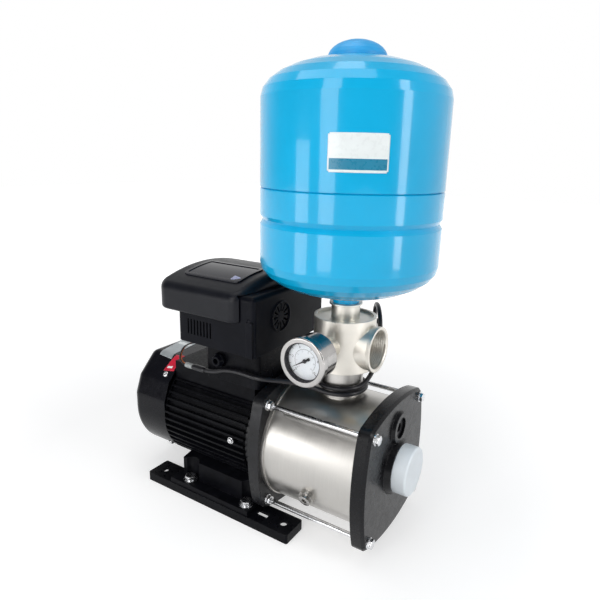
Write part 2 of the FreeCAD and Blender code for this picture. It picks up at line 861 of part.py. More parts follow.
def slot_ring(name, inner, outer, width, count, depth):
    """Radial slots set round an axis, to cut with."""
    slots = new_body(name)
    slot = new_sketch(slots)
    half = f"{width} / 2"
    draw_loop(slot, [(inner, f"-({half})"), (outer, f"-({half})"), (outer, half), (inner, half)])
    repeat_round(slots, pad(slots, slot, depth), slot, count)
    return slots


def fan_cover_screws():
    heads = screw_rods("screw_head_radius", "fan_cover_radius", "screw_head_height")
    shanks = screw_rods("screw_radius", "fan_cover_radius - screw_length", "screw_length")
    node(grouped([joined([head, shank]) for head, shank in zip(heads, shanks)]), "fan_cover_screws")


def bladed_wheel(name, start, length, radius, plate, hub, bore, blades, tilt):
    """Wheel with a hub, a back plate and flat blades set round it."""
    body = new_body(name)
    disc = new_sketch(body)
    draw_circle(disc, "0", "0", hub)
    draw_circle(disc, "0", "0", bore)
    pad(body, disc, length)
    back = new_sketch(body)
    inner = f"{hub} - seam_overlap"
    draw_circle(back, "0", "0", plate)
    draw_circle(back, "0", "0", inner)
    pad(body, back, "blade_thickness")
    blade = new_sketch(body)
    half = "blade_thickness / 2"
    draw_loop(blade, [(inner, f"-({half})"), (radius, f"{tilt} - {half}"),
                      (radius, f"{tilt} + {half}"), (inner, half)])
    repeat_round(body, pad(body, blade, length), blade, blades)
    place(body, (start, "0", "shaft_height"), "x")
    return body


def motor_fan():
    wheel = bladed_wheel("motor_fan", "motor_fan_start", "motor_fan_length", "motor_fan_radius", "motor_fan_plate",
                         "motor_fan_hub", "rear_bearing_bore", "motor_fan_blades", "0")
    node(wheel, "motor_fan")


def bulged_plate(start, thickness):
    """Square plate with bowed sides and rounded corners, across the shaft."""
    shift = "flange_bow - flange_half"
    discs = [rod((start, f"{side} * ({shift})", "shaft_height"), "x", "flange_bow", thickness)
             for side in (-1, 1)]
    discs += [rod((start, "0", f"shaft_height + {side} * ({shift})"), "x", "flange_bow", thickness)
              for side in (-1, 1)]
    plate = joined(discs, "Part::MultiCommon")
    return eased(plate, lambda edge: along(edge, "x"), "flange_corner")


def motor_stool():
    """Front shield of the motor, with the flange that the pump bolts to."""
    neck = rod((FRAME_END, "0", "shaft_height"), "x", "stool_radius", f"{FLANGE_START} - ({FRAME_END})")
    seat_end = f"{FRONT_BEARING_START} + front_bearing_width"
    cutters = [rod((FRAME_END, "0", "shaft_height"), "x", "front_bearing_outer", "front_bearing_width"),
               rod((seat_end, "0", "shaft_height"), "x", "front_bearing_bore + shaft_clearance",
                   f"sleeve_start - ({seat_end})")]
    for y, z in STAY_SPOTS:
        cutters.append(rod((FLANGE_START, y, z), "x", "stay_radius", "flange_thickness"))
    node(carved(joined([neck, bulged_plate(FLANGE_START, "flange_thickness")]), cutters), "motor_stool")


def shaft():
    pump_start = f"{FRONT_BEARING_START} + front_bearing_width + shaft_step"
    rotor_front = f"{FRONT_BEARING_START} - shaft_shoulder"
    profile = [("0", "shaft_back"), ("rear_bearing_bore", "shaft_back"), ("rear_bearing_bore", "frame_start"),
               ("shaft_rotor_radius", "frame_start"), ("shaft_rotor_radius", rotor_front),
               ("front_bearing_bore", rotor_front), ("front_bearing_bore", pump_start),
               ("shaft_pump_radius", pump_start), ("shaft_pump_radius", "shaft_front"), ("0", "shaft_front")]
    node(turned("shaft", profile, ("0", "0", "shaft_height"), "x"), "shaft")


# Pump

TURNS["drain"] = Rotation(Vector(1, 0, 0), 90 + SIZES["drain_angle"])
DRAIN_Y = "-cos(drain_angle * 1 deg)"
DRAIN_Z = "-sin(drain_angle * 1 deg)"


def drain_spot(reach):
    """Point at a distance from the shaft on the axis of the drain plug."""
    return ("tank_axis", f"({reach}) * ({DRAIN_Y})", f"shaft_height + ({reach}) * ({DRAIN_Z})")


def pump_sleeve():
    """Stainless sleeve with rolled rims, the discharge stub on top and the drain boss."""
    axis = ("0", "shaft_height")
    rim = "sleeve_radius + sleeve_rim_height"
    pieces = [rod(("sleeve_start", *axis), "x", "sleeve_radius", "sleeve_length"),
              rod(("sleeve_start", *axis), "x", rim, "sleeve_rim_width"),
              rod((f"{SLEEVE_END} - sleeve_rim_width", *axis), "x", rim, "sleeve_rim_width"),
              rod(("tank_axis", "0", "shaft_height"), "z", "stub_radius", "stub_top - shaft_height"),
              rod(drain_spot(SLEEVE_BORE), "drain", "drain_boss_radius", "drain_boss_length + sleeve_wall")]
    cutters = [rod(("sleeve_start", *axis), "x", SLEEVE_BORE, "sleeve_length"),
               rod(("tank_axis", "0", "shaft_height"), "z", "stub_radius - stub_wall", "stub_top - shaft_height"),
               rod(drain_spot("sleeve_radius - drain_boss_radius"), "drain", "drain_thread_radius",
                   "drain_boss_length + drain_boss_radius")]
    node(carved(joined(pieces), cutters), "pump_sleeve")


def drain_plug():
    face = "sleeve_radius + drain_boss_length"
    head = rod(drain_spot(face), "drain", "drain_plug_radius", "drain_plug_proud")
    thread = rod(drain_spot(SLEEVE_BORE), "drain", "drain_thread_radius", "drain_boss_length + sleeve_wall")
    socket = hex_rod(drain_spot(f"{face} + drain_plug_proud - drain_socket_depth"), "drain", "drain_socket_radius",
                     "drain_socket_depth")
    node(carved(joined([head, thread]), [socket]), "drain_plug")


def end_cover():
    """Cast suction cover with the inlet boss, the priming port and a spigot inside the sleeve."""
    axis = ("0", "shaft_height")
    plate = bulged_plate(SLEEVE_END, "cover_thickness")
    plate = eased(plate, lambda edge: at_height(edge, "x", COVER_FACE), "cover_bevel", "Part::Chamfer")
    spigot_length = f"{SLEEVE_END} - ({STAGES_END})"
    prime_height = "shaft_height + priming_offset"
    pieces = [plate, rod((STAGES_END, *axis), "x", SPIGOT_RADIUS, spigot_length),
              cone((COVER_FACE, *axis), "x", "inlet_boss_radius + inlet_boss_flare", "inlet_boss_radius",
                   "inlet_boss_length"),
              cone((COVER_FACE, "0", prime_height), "x", "priming_boss_radius + priming_boss_flare",
                   "priming_boss_radius", "priming_boss_length")]
    face = f"{COVER_FACE} + inlet_boss_length"
    cutters = [rod((STAGES_END, *axis), "x", f"{SPIGOT_RADIUS} - cover_spigot_wall",
                   f"{spigot_length} + cover_recess"),
               rod((STAGES_END, *axis), "x", "inlet_bore_radius", f"{face} - ({STAGES_END})"),
               rod((SLEEVE_END, "0", prime_height), "x", "priming_thread_radius",
                   "cover_thickness + priming_boss_length"),
               rod((PRIMING_SEAT, "0", prime_height), "x", "priming_bore_radius", "priming_seat_depth")]
    for y, z in STAY_SPOTS:
        cutters.append(rod((SLEEVE_END, y, z), "x", "stay_radius + hole_clearance", "cover_thickness"))
    node(carved(joined(pieces), cutters), "end_cover")


def stay_fasteners():
    """Long bolts from the cover into the stool, each with its washer."""
    bolts, washers = [], []
    for y, z in STAY_SPOTS:
        washer = rod((COVER_FACE, y, z), "x", "stay_washer_radius", "washer_thickness")
        washers.append(carved(washer, [rod((COVER_FACE, y, z), "x", "stay_radius", "washer_thickness")]))
        head_start = f"{COVER_FACE} + washer_thickness"
        head = hex_rod((head_start, y, z), "x", "stay_head_radius", "stay_head_height")
        bolts.append(joined([head, rod((FLANGE_START, y, z), "x", "stay_radius", f"{head_start} - ({FLANGE_START})")]))
    node(grouped(bolts), "stay_bolts")
    node(grouped(washers), "stay_washers")


def discharge_plate():
    """Plate behind the stages that holds the shaft seal."""
    end = "sleeve_start + plate_thickness"
    profile = [("seal_outer", "sleeve_start"), (SPIGOT_RADIUS, "sleeve_start"), (SPIGOT_RADIUS, end),
               ("chamber_radius", end), ("chamber_radius", "stage_start"),
               ("chamber_radius - chamber_wall * 2", "stage_start"), ("chamber_radius - chamber_wall * 2", end),
               ("seal_outer", end)]
    node(turned("discharge_plate", profile, ("0", "0", "shaft_height"), "x"), "discharge_plate")


def shaft_seal():
    seat_end = "sleeve_start + plate_thickness"
    seat_start = f"{seat_end} - seal_length"
    seat_bore = "shaft_pump_radius + shaft_clearance"
    seat = [(seat_bore, seat_start), ("seal_outer", seat_start), ("seal_outer", seat_end), (seat_bore, seat_end)]
    node(turned("seal_seat", seat, ("0", "0", "shaft_height"), "x"), "seal_seat")
    ring_start = f"{seat_end} + fit_gap"
    ring = [("shaft_pump_radius", ring_start), ("seal_ring_radius", ring_start), ("seal_ring_radius", "stage_start"),
            ("shaft_pump_radius", "stage_start")]
    node(turned("seal_ring", ring, ("0", "0", "shaft_height"), "x"), "seal_ring")


def stages():
    """Chamber cups with an impeller in each, repeated along the shaft."""
    cups = []
    for stage in range(STAGES):
        start = f"stage_start + {stage} * stage_length"
        end = f"{start} + stage_length"
        wall = "chamber_radius - chamber_wall"
        cup = [("chamber_eye", start), ("chamber_radius", start), ("chamber_radius", end), (wall, end),
               (wall, f"{start} + chamber_wall"), ("chamber_eye", f"{start} + chamber_wall")]
        cups.append(turned("chamber", cup, ("0", "0", "shaft_height"), "x"))
        impeller(f"impeller_{stage + 1}", start)
    node(grouped(cups), "chambers")


def impeller(name, start):
    """Closed wheel: a hub, two shrouds and straight vanes."""
    body = new_body(name)
    hub = new_sketch(body)
    draw_circle(hub, "0", "0", "impeller_hub")
    draw_circle(hub, "0", "0", "shaft_pump_radius")
    pad(body, hub, "stage_length")
    inner = "impeller_hub - seam_overlap"
    back = new_sketch(body, shift="back_shroud_at")
    draw_circle(back, "0", "0", "impeller_radius")
    draw_circle(back, "0", "0", inner)
    pad(body, back, "shroud_thickness")
    vane = new_sketch(body, shift="back_shroud_at")
    half = "shroud_thickness / 2"
    draw_loop(vane, [(inner, f"-({half})"), ("impeller_radius", f"vane_lean - {half}"),
                     ("impeller_radius", f"vane_lean + {half}"), (inner, half)])
    repeat_round(body, pad(body, vane, "front_shroud_at - back_shroud_at"), vane, "impeller_vanes")
    front = new_sketch(body, shift="front_shroud_at")
    draw_circle(front, "0", "0", "impeller_radius")
    draw_circle(front, "0", "0", "chamber_eye")
    pad(body, front, "shroud_thickness")
    place(body, (start, "0", "shaft_height"), "x")
    node(body, name)


def impeller_nut():
    nut = hex_rod((STAGES_END, "0", "shaft_height"), "x", "impeller_hub", "shaft_pump_radius")
    node(carved(nut, [rod((STAGES_END, "0", "shaft_height"), "x", "shaft_pump_radius", "shaft_pump_radius")]),
         "impeller_nut")


def inlet_cap():
    """Push-in plastic cap: a hollow head with a domed front and a skirt inside the bore."""
    start = f"{COVER_FACE} + inlet_boss_length"
    end = f"{start} + inlet_cap_length"
    skirt = "inlet_bore_radius - fit_gap"
    profile = [("0", f"{end} - inlet_cap_wall"), (f"{skirt} - inlet_cap_wall", f"{end} - inlet_cap_wall"),
               (f"{skirt} - inlet_cap_wall", f"{start} - inlet_cap_plug_length"),
               (skirt, f"{start} - inlet_cap_plug_length"), (skirt, start), ("inlet_cap_radius", start),
               ("inlet_cap_radius", end), ("0", end)]
    cap = turned("inlet_cap", profile, ("0", "0", "shaft_height"), "x")
    round_rings(cap, [("inlet_cap_radius", end)], "inlet_cap_wall")
    node(cap, "inlet_cap")


def priming_plug():
    """Recessed plug with a socket, screwed into the priming port."""
    height = "shaft_height + priming_offset"
    head = rod((PRIMING_SEAT, "0", height), "x", "priming_bore_radius - fit_gap",
               "priming_seat_depth - priming_recess")
    thread = rod((SLEEVE_END, "0", height), "x", "priming_thread_radius", f"{PRIMING_SEAT} - ({SLEEVE_END})")
    socket_start = f"{PRIMING_SEAT} + priming_seat_depth - priming_recess - priming_socket_depth"
    socket = hex_rod((socket_start, "0", height), "x", "priming_socket_radius", "priming_socket_depth")
    node(carved(joined([head, thread]), [socket]), "priming_plug")


# Manifold, gauge and pressure sensor

PORT = ("tank_axis", "0", "port_height")
OUTLET = ("tank_axis + outlet_front", "0", "port_height")
SPIGOT_BOTTOM = "stub_top - manifold_spigot_length"
WATERWAY = "stub_radius - stub_wall - manifold_spigot_wall"


def port_spot(reach):
    """Point in front of the manifold's middle, on the axis of the gauge."""
    return ("tank_axis", f"-({reach})", "gauge_height")


def behind_outlet(length):
    """Point on the outlet's axis at a distance behind its mouth."""
    return (f"{OUTLET[0]} - {length}", *OUTLET[1:])


def manifold():
    """Five-way cross: stub below, tank nipple above, outlet, gauge port and sensor port."""
    neck_start = ("tank_axis + outlet_root_start", "0", "port_height")
    neck_length = "outlet_front - outlet_root_start - outlet_ring_length"
    thread_start = "manifold_face - nipple_thread_length"
    pieces = [rod(("tank_axis", "0", "stub_top"), "z", "manifold_radius", "manifold_length"),
              rod(("tank_axis", "0", SPIGOT_BOTTOM), "z", "stub_radius - stub_wall", "manifold_spigot_length"),
              cone(neck_start, "x", "outlet_root_radius", "outlet_neck_radius", neck_length),
              rod(behind_outlet("outlet_ring_length"), "x", "outlet_ring_radius", "outlet_ring_length")]
    cutters = [rod(("tank_axis", "0", SPIGOT_BOTTOM), "z", WATERWAY, f"{thread_start} - ({SPIGOT_BOTTOM})"),
               rod(("tank_axis", "0", "manifold_face"), "z", "manifold_radius - manifold_rim_width",
                   "manifold_rim_depth"),
               rod(("tank_axis", "0", thread_start), "z", "nipple_radius", "nipple_thread_length"),
               rod(PORT, "x", WATERWAY, "outlet_front - outlet_thread_length"),
               rod(behind_outlet("outlet_thread_length"), "x", "outlet_thread_radius", "outlet_thread_length"),
               cone(behind_outlet("outlet_bevel"), "x", "outlet_thread_radius", "outlet_thread_radius + outlet_bevel",
                    "outlet_bevel")]
    for spot, side in ((port_spot("0"), "-y"), (PORT, "y")):
        pieces.append(rod(spot, side, "gauge_boss_radius", "gauge_boss_reach"))
        cutters.append(rod(spot, side, "small_port_radius", "gauge_boss_reach"))
    node(carved(joined(pieces), cutters), "manifold")


def facing(name, profile):
    """Turned piece on the axis of the gauge, with distances towards the front."""
    return turned(name, profile, port_spot("0"), "-y")


GAUGE_BORE = "gauge_case_radius - gauge_case_wall"
GAUGE_DIAL = "gauge_front - gauge_dial_depth"
GAUGE_DIAL_BACK = "gauge_front - gauge_dial_depth - gauge_dial_thickness"
BEZEL_BACK = "gauge_front - gauge_bezel_length"


def gauge():
    """Pressure gauge: case, bezel, glass and dial."""
    floor = "gauge_case_back + gauge_case_wall"
    case = facing("gauge_case", [("small_port_radius", "gauge_case_back"), ("gauge_case_radius", "gauge_case_back"),
                                 ("gauge_case_radius", BEZEL_BACK), (GAUGE_BORE, BEZEL_BACK), (GAUGE_BORE, floor),
                                 ("small_port_radius", floor)])
    round_rings(case, [("gauge_case_radius", "gauge_case_back")], "gauge_case_wall")
    node(case, "gauge_case")
    lip = "gauge_bezel_radius - gauge_bezel_lip"
    seat = f"{GAUGE_BORE} + gauge_glass_step"
    glass_front = "gauge_front - gauge_glass_depth"
    bezel = facing("gauge_bezel", [(GAUGE_BORE, BEZEL_BACK), ("gauge_bezel_radius", BEZEL_BACK),
                                   ("gauge_bezel_radius", "gauge_front"), (lip, "gauge_front"), (lip, glass_front),
                                   (seat, glass_front), (seat, GAUGE_DIAL), (GAUGE_BORE, GAUGE_DIAL)])
    round_rings(bezel, [("gauge_bezel_radius", "gauge_front")], "gauge_bezel_round")
    node(bezel, "gauge_bezel")
    glass_back = f"{glass_front} - gauge_glass_thickness"
    glass = facing("gauge_glass", [("0", glass_back), (seat, glass_back), (seat, glass_front), ("0", glass_front)])
    node(glass, "gauge_glass")
    hole = "arbor_radius + running_clearance"
    dial = facing("gauge_dial", [(hole, GAUGE_DIAL_BACK), (GAUGE_BORE, GAUGE_DIAL_BACK), (GAUGE_BORE, GAUGE_DIAL),
                                 (hole, GAUGE_DIAL)])
    node(dial, "gauge_dial")


def gauge_movement():
    """Block behind the dial that carries the pointer's arbor."""
    floor = "gauge_case_back + gauge_case_wall"
    hole = "arbor_radius + running_clearance"
    deep = f"{GAUGE_DIAL_BACK} - arbor_length - fit_gap"
    block = facing("gauge_movement", [("0", floor), ("movement_radius", floor), ("movement_radius", GAUGE_DIAL_BACK),
                                      (hole, GAUGE_DIAL_BACK), (hole, deep), ("0", deep)])
    node(block, "gauge_movement")


def gauge_pointer():
    """Tapered hand with a tail, on its arbor."""
    body = new_body("gauge_pointer")
    half = "pointer_width / 2"
    hand = new_sketch(body, shift=f"{GAUGE_DIAL} + fit_gap * 2")
    draw_loop(hand, [("pointer_length", "0"), ("0", half), ("-pointer_tail", "pointer_width"),
                     ("-pointer_tail", "-pointer_width"), ("0", f"-({half})")])
    pad(body, hand, "pointer_thickness")
    boss = new_sketch(body, shift=f"{GAUGE_DIAL} + fit_gap")
    draw_circle(boss, "0", "0", "arbor_radius * 2")
    pad(body, boss, "pointer_thickness * 2")
    arbor = new_sketch(body, shift=f"{GAUGE_DIAL_BACK} - arbor_length")
    draw_circle(arbor, "0", "0", "arbor_radius")
    pad(body, arbor, "arbor_length + gauge_dial_thickness + fit_gap")
    TURNS["pointer"] = TURNS["-y"] * Rotation(Vector(0, 0, 1), SIZES["pointer_rest_angle"])
    place(body, port_spot("0"), "pointer")
    node(body, "gauge_pointer")


def gauge_stem():
    """Hexagon and thread that carry the gauge, with the pressure hole through them."""
    inside = "manifold_radius - manifold_wall"
    pieces = [hex_rod(port_spot("gauge_boss_reach"), "-y", "gauge_stem_hex", "gauge_case_back - gauge_boss_reach"),
              rod(port_spot("gauge_case_back"), "-y", "small_port_radius", "gauge_case_wall"),
              rod(port_spot(inside), "-y", "small_port_radius", f"gauge_boss_reach - ({inside})")]
    hole = rod(port_spot(inside), "-y", "pressure_hole_radius", f"gauge_case_back - ({inside})")
    node(carved(joined(pieces), [hole]), "gauge_stem")


SENSOR_END = "gauge_boss_reach + sensor_hex_length + sensor_body_length"
PLUG_MIDDLE = f"{SENSOR_END} + sensor_plug_length / 2"


def pressure_sensor():
    """Sensor in the port behind the manifold, and the plug of its cable."""
    inside = "manifold_radius - manifold_wall"
    can_start = "gauge_boss_reach + sensor_hex_length"
    pieces = [hex_rod(("tank_axis", "gauge_boss_reach", "port_height"), "y", "sensor_hex_radius", "sensor_hex_length"),
              rod(("tank_axis", can_start, "port_height"), "y", "sensor_body_radius", "sensor_body_length"),
              rod(("tank_axis", inside, "port_height"), "y", "small_port_radius", f"gauge_boss_reach - ({inside})")]
    hole = rod(("tank_axis", inside, "port_height"), "y", "pressure_hole_radius", f"gauge_boss_reach - ({inside})")
    node(carved(joined(pieces), [hole]), "pressure_sensor")
    plug = rod(("tank_axis", SENSOR_END, "port_height"), "y", "sensor_plug_radius", "sensor_plug_length")
    sleeve = rod(("tank_axis", PLUG_MIDDLE, "port_height"), "z", "cable_sleeve_radius", "sensor_plug_exit")
    node(joined([plug, sleeve]), "sensor_plug")


# Diaphragm tank

# Angles at which a quarter ellipse gets its corners, up from its widest ring
DISH_ANGLES = [90 * step / 8 for step in range(8)]
DOME_TURN = 72
DOME_ANGLES = [DOME_TURN * step / 6 for step in range(6)]


def ellipse(radius, base, rise, angles):
    """Corners on an ellipse that rises from its widest ring at the base."""
    return [(f"({radius}) * cos({angle} deg)", f"{base} + ({rise}) * sin({angle} deg)") for angle in angles]


def tank_turned(name, outer, inner):
    """Turned shell on the tank's axis from its outer and inner corners, both named upwards."""
    return node(turned(name, outer + inner[::-1], ("tank_axis", "0", "0")), name)


def tank_lower_shell():
    """Pressed lower half with a dished bottom and a bead pressed into its side."""
    side = [("tank_radius", "tank_groove_height - tank_groove_half"),
            ("tank_radius - tank_groove_depth", "tank_groove_height"),
            ("tank_radius", "tank_groove_height + tank_groove_half"), ("tank_radius", "tank_seam - tank_wall"),
            ("tank_radius - tank_wall - fit_gap", "tank_seam"),
            ("tank_radius - tank_wall - fit_gap", "tank_seam + tank_lap")]
    outer = [("tank_neck_radius", "tank_bottom")]
    outer += ellipse("tank_radius", "tank_bottom_knuckle", "-tank_dish", DISH_ANGLES[::-1])
    inner = [("tank_neck_radius", "tank_bottom + tank_wall")]
    inner += ellipse("tank_radius - tank_wall", "tank_bottom_knuckle", "tank_wall - tank_dish", DISH_ANGLES[::-1])
    inner += [(f"{radius} - tank_wall", height) for radius, height in side]
    tank_turned("tank_lower_shell", outer + side, inner)


def tank_upper_shell():
    """Pressed upper half that closes over the lower one, with a domed top."""
    rise = f"tank_dome / sin({DOME_TURN} deg)"
    seat = "valve_cap_radius + tank_wall"
    outer = [("tank_radius", "tank_seam + fit_gap")] + ellipse("tank_radius", "tank_shoulder", rise, DOME_ANGLES)
    outer += [(seat, "tank_crown"), ("air_valve_radius", "tank_crown")]
    inner = [("tank_radius - tank_wall", "tank_seam + fit_gap")]
    inner += ellipse("tank_radius - tank_wall", "tank_shoulder", f"{rise} - tank_wall", DOME_ANGLES)
    inner += [(seat, "tank_crown - tank_wall"), ("air_valve_radius", "tank_crown - tank_wall")]
    tank_turned("tank_upper_shell", outer, inner)


def tank_fittings():
    """Threaded nipple with its flange, the tank's collar, the air valve and its screw cap."""
    bottom = "manifold_face - nipple_thread_length"
    flange = "nipple_top - nipple_flange_length"
    nipple = [("nipple_bore_radius", bottom), ("nipple_radius", bottom), ("nipple_radius", flange),
              ("nipple_flange_radius", flange), ("nipple_flange_radius", "nipple_top"),
              ("nipple_top_radius", "nipple_top"), ("nipple_top_radius", "tank_collar_top"),
              ("nipple_bore_radius", "tank_collar_top")]
    node(turned("tank_nipple", nipple, ("tank_axis", "0", "0")), "tank_nipple")
    collar = [("nipple_top_radius", "nipple_top"), ("tank_neck_radius", "nipple_top"),
              ("tank_neck_radius", "tank_collar_top"), ("nipple_top_radius", "tank_collar_top")]
    node(turned("tank_collar", collar, ("tank_axis", "0", "0")), "tank_collar")
    valve = rod(("tank_axis", "0", "tank_crown - tank_wall - air_valve_height / 2"), "z", "air_valve_radius",
                "tank_wall + air_valve_height * 1.5")
    node(valve, "tank_air_valve")
    outer = ellipse("valve_cap_radius", "tank_crown", "valve_cap_height", DISH_ANGLES) + [("0", "valve_cap_top")]
    inner = ellipse("valve_cap_radius - valve_cap_wall", "tank_crown",
                    "valve_cap_height - valve_cap_wall", DISH_ANGLES)
    tank_turned("tank_valve_cap", outer, inner + [("0", "valve_cap_top - valve_cap_wall")])


def tank_bladder():
    """Rubber bag inside the tank, clamped at the collar."""
    side = "tank_radius - tank_wall - bladder_gap"
    widest = "tank_bottom_knuckle + tank_lap"
    neck = "tank_collar_top + bladder_gap"
    crown = "tank_lap * 4"
    outer = [("tank_neck_radius", "tank_collar_top")]
    outer += ellipse(side, widest, f"{neck} - ({widest})", DISH_ANGLES[::-1])
    outer += ellipse(side, "tank_seam", crown, DISH_ANGLES) + [("0", f"tank_seam + {crown}")]
    thin = f"{side} - bladder_wall"
    inner = [("tank_neck_radius - bladder_wall", "tank_collar_top")]
    inner += ellipse(thin, widest, f"{neck} + bladder_wall - ({widest})", DISH_ANGLES[::-1])
    inner += ellipse(thin, "tank_seam", f"{crown} - bladder_wall", DISH_ANGLES)
    tank_turned("tank_bladder", outer, inner + [("0", f"tank_seam + {crown} - bladder_wall")])


# Drive on top of the motor

NECK_X = ("neck_start", "neck_start + neck_length")
BOX_FLOOR = "box_bottom + box_wall"


def inset(pair, wall):
    """Pair of limits moved inwards by a wall."""
    return (f"{pair[0]} + {wall}", f"{pair[1]} - {wall}")


def drive_neck():
    """Cast box between the motor and the drive, with the cable entry in its front."""
    y = ("-neck_half", "neck_half")
    outside = box(NECK_X, y, ("pad_top", "box_bottom"))
    inside = box(inset(NECK_X, "neck_wall"), inset(y, "neck_wall"), ("pad_top", "box_bottom"))
    shape = eased(outside, lambda edge: along(edge, "z"), "box_round")
    entry = rod(("gland_place", "-neck_half", "gland_height"), "y", "gland_bore_radius", "neck_wall")
    node(carved(shape, [inside, entry]), "drive_neck")
    spot = ("gland_place", "-neck_half", "gland_height")
    hexagon = hex_rod(spot, "-y", "gland_radius", "gland_length / 2")
    dome = cone(("gland_place", "-neck_half - gland_length / 2", "gland_height"), "-y", "gland_dome_radius",
                "gland_tip_radius", "gland_length / 2")
    node(carved(joined([hexagon, dome]), [rod(spot, "-y", "gland_bore_radius", "gland_length")]), "cable_gland")


def drive_base():
    """Housing of the drive with vents in front, a fan grille at the end and a rib at the corner."""
    x, y, z = ("box_start", "box_end"), ("box_front", "box_back"), ("box_bottom", "box_top")
    block = eased(box(x, y, z), lambda edge: along(edge, "z"), "box_round")
    block = eased(block, lambda edge: at_height(edge, "z", "box_top"), "box_top_round")
    rib_end = "box_end - rib_depth"
    rib = box((f"{rib_end} - rib_width", rib_end), ("box_front - rib_depth", "box_front + box_wall"),
              ("box_bottom", "box_bottom + rib_height"))
    ring = rod(("box_end", "grille_front", "grille_height"), "x", "grille_radius + rib_depth", "rib_depth")
    cutters = [box(inset(x, "box_wall"), inset(y, "box_wall"), inset(z, "box_wall")),
               rod(("box_end", "grille_front", "grille_height"), "x", "grille_radius", "rib_depth"),
               box(inset(NECK_X, "neck_wall"), ("-neck_half + neck_wall", "neck_half - neck_wall"),
                   ("box_bottom", BOX_FLOOR)),
               rod(("cable_end - wire_step", "-wire_entry", "box_bottom"), "z", "wire_radius * 3", "box_wall")]
    for vent in range(int(number("vent_count"))):
        start = f"vent_first + {vent} * vent_pitch"
        cutters.append(box((start, f"{start} + vent_width"), ("box_front", "box_front + box_wall"),
                           ("vent_bottom", "vent_bottom + vent_height")))
    slots = slot_ring("grille_slots", "grille_slot_inner", "grille_radius - grille_rim", "vent_width", "grille_slots",
                      "box_wall")
    place(slots, ("box_end - box_wall", "grille_front", "grille_height"), "x")
    pin_start = "box_end - box_wall - fan_rotor_length - fit_gap * 2"
    peg = rod((pin_start, "grille_front", "grille_height"), "x", "fan_rotor_bore - running_clearance",
              f"box_end - box_wall - ({pin_start})")
    node(joined([carved(joined([block, rib, ring]), cutters + [slots]), peg]), "drive_base")


def drive_inside():
    """Finned heat sink, the circuit board on it and the fan behind the grille."""
    fan_room = "box_end - box_wall * 2 - fan_rotor_length"
    x = ("box_start + box_wall * 2", f"{fan_room} - box_wall")
    y = ("box_front + box_wall * 4", "box_back - box_wall * 4")
    sink = [box(x, y, (BOX_FLOOR, f"{BOX_FLOOR} + sink_base"))]
    for fin in range(int(number("sink_fins"))):
        start = f"{y[0]} + {fin} * ({y[1]} - ({y[0]}) - sink_base / 2) / (sink_fins - 1)"
        sink.append(box(x, (start, f"{start} + sink_base / 2"), (BOX_FLOOR, f"{BOX_FLOOR} + sink_height")))
    node(joined(sink), "drive_heat_sink")
    low = f"{BOX_FLOOR} + sink_height"
    high = f"{low} + board_thickness"
    parts = [box(x, y, (low, high)), box((f"{x[0]} + sink_height", f"{x[0]} + sink_height * 2"),
                                         ("0", "sink_height"), (high, f"{high} + sink_height / 2"))]
    for step in (1, 2, 3):
        parts.append(rod((f"{x[1]} - sink_height", f"{step} * sink_height - sink_height * 3", high), "z",
                         "sink_height / 3", "sink_height * 0.8"))
    node(joined(parts), "circuit_board")
    fan = bladed_wheel("drive_fan", fan_room, "fan_rotor_length", "fan_rotor_radius", "fan_rotor_plate",
                       "fan_rotor_hub", "fan_rotor_bore", "fan_rotor_blades", "fan_rotor_hub / 2")
    place(fan, (f"{fan_room} + box_wall - fit_gap", "grille_front", "grille_height"), "x")
    node(fan, "drive_fan")


def arched_block(margin, low):
    """Block with an arched top, moved inwards by a margin."""
    middle = "(hood_front + hood_back) / 2"
    block = box(inset(("hood_start", "hood_end"), margin), inset(("hood_front", "hood_back"), margin),
                (low, "hood_crown"))
    arch = rod(("hood_start", middle, "hood_crown - hood_arch_radius"), "x", f"hood_arch_radius - {margin}",
               "hood_end - hood_start")
    return joined([block, arch], "Part::MultiCommon")


def drive_hood():
    """Arched cover over the drive, open below for the housing."""
    top = number("hood_crown - hood_wall * 6")
    outside = eased(arched_block("0", "hood_bottom"), lambda edge: along(edge, "z"), "hood_plan_round")
    outside = eased(outside, lambda edge: edge.BoundBox.ZMin > top, "hood_round")
    outside = eased(outside, lambda edge: at_height(edge, "z", "hood_bottom"), "hood_lip_round")
    inside = arched_block("hood_wall", "hood_bottom + hood_wall")
    inside = eased(inside, lambda edge: along(edge, "z"), "hood_plan_round - hood_wall")
    inside = eased(inside, lambda edge: edge.BoundBox.ZMin > top - number("hood_wall"), "hood_round - hood_wall")
    clear = box(("box_start - fit_gap", "box_end + fit_gap"), ("box_front - rib_depth", "box_back + fit_gap"),
                ("hood_bottom", "box_top + fit_gap"))
    node(carved(outside, [inside, clear]), "drive_hood")


def on_arch(x, y, corner, low, high):
    """Plate with round corners that follows the arch of the hood between two heights above it."""
    middle = "(hood_front + hood_back) / 2"
    spot = ("hood_start", middle, "hood_crown - hood_arch_radius")
    block = eased(box(x, y, ("hood_bottom", "hood_crown + panel_frame_height * 2")),
                  lambda edge: along(edge, "z"), corner)
    over = rod(spot, "x", f"hood_arch_radius + {high}", "hood_end - hood_start")
    under = rod(spot, "x", f"hood_arch_radius + {low}", "hood_end - hood_start")
    return carved(joined([block, over], "Part::MultiCommon"), [under])


def control_panel():
    """Raised panel on the hood with a sunk window."""
    x, y = ("panel_start", "panel_end"), ("panel_front", "panel_front + panel_depth")
    plate = on_arch(x, y, "panel_round", "0", "panel_frame_height")
    window = on_arch(inset(x, "panel_frame_width"), inset(y, "panel_frame_width"), "panel_round - panel_frame_width",
                     "panel_window_height", "panel_frame_height * 2")
    node(carved(plate, [window]), "control_panel")


# Cable and wires

PLUG_TOP = "port_height + sensor_plug_exit"
WRAP_STEPS = 10
BEND_SHARE = 0.45


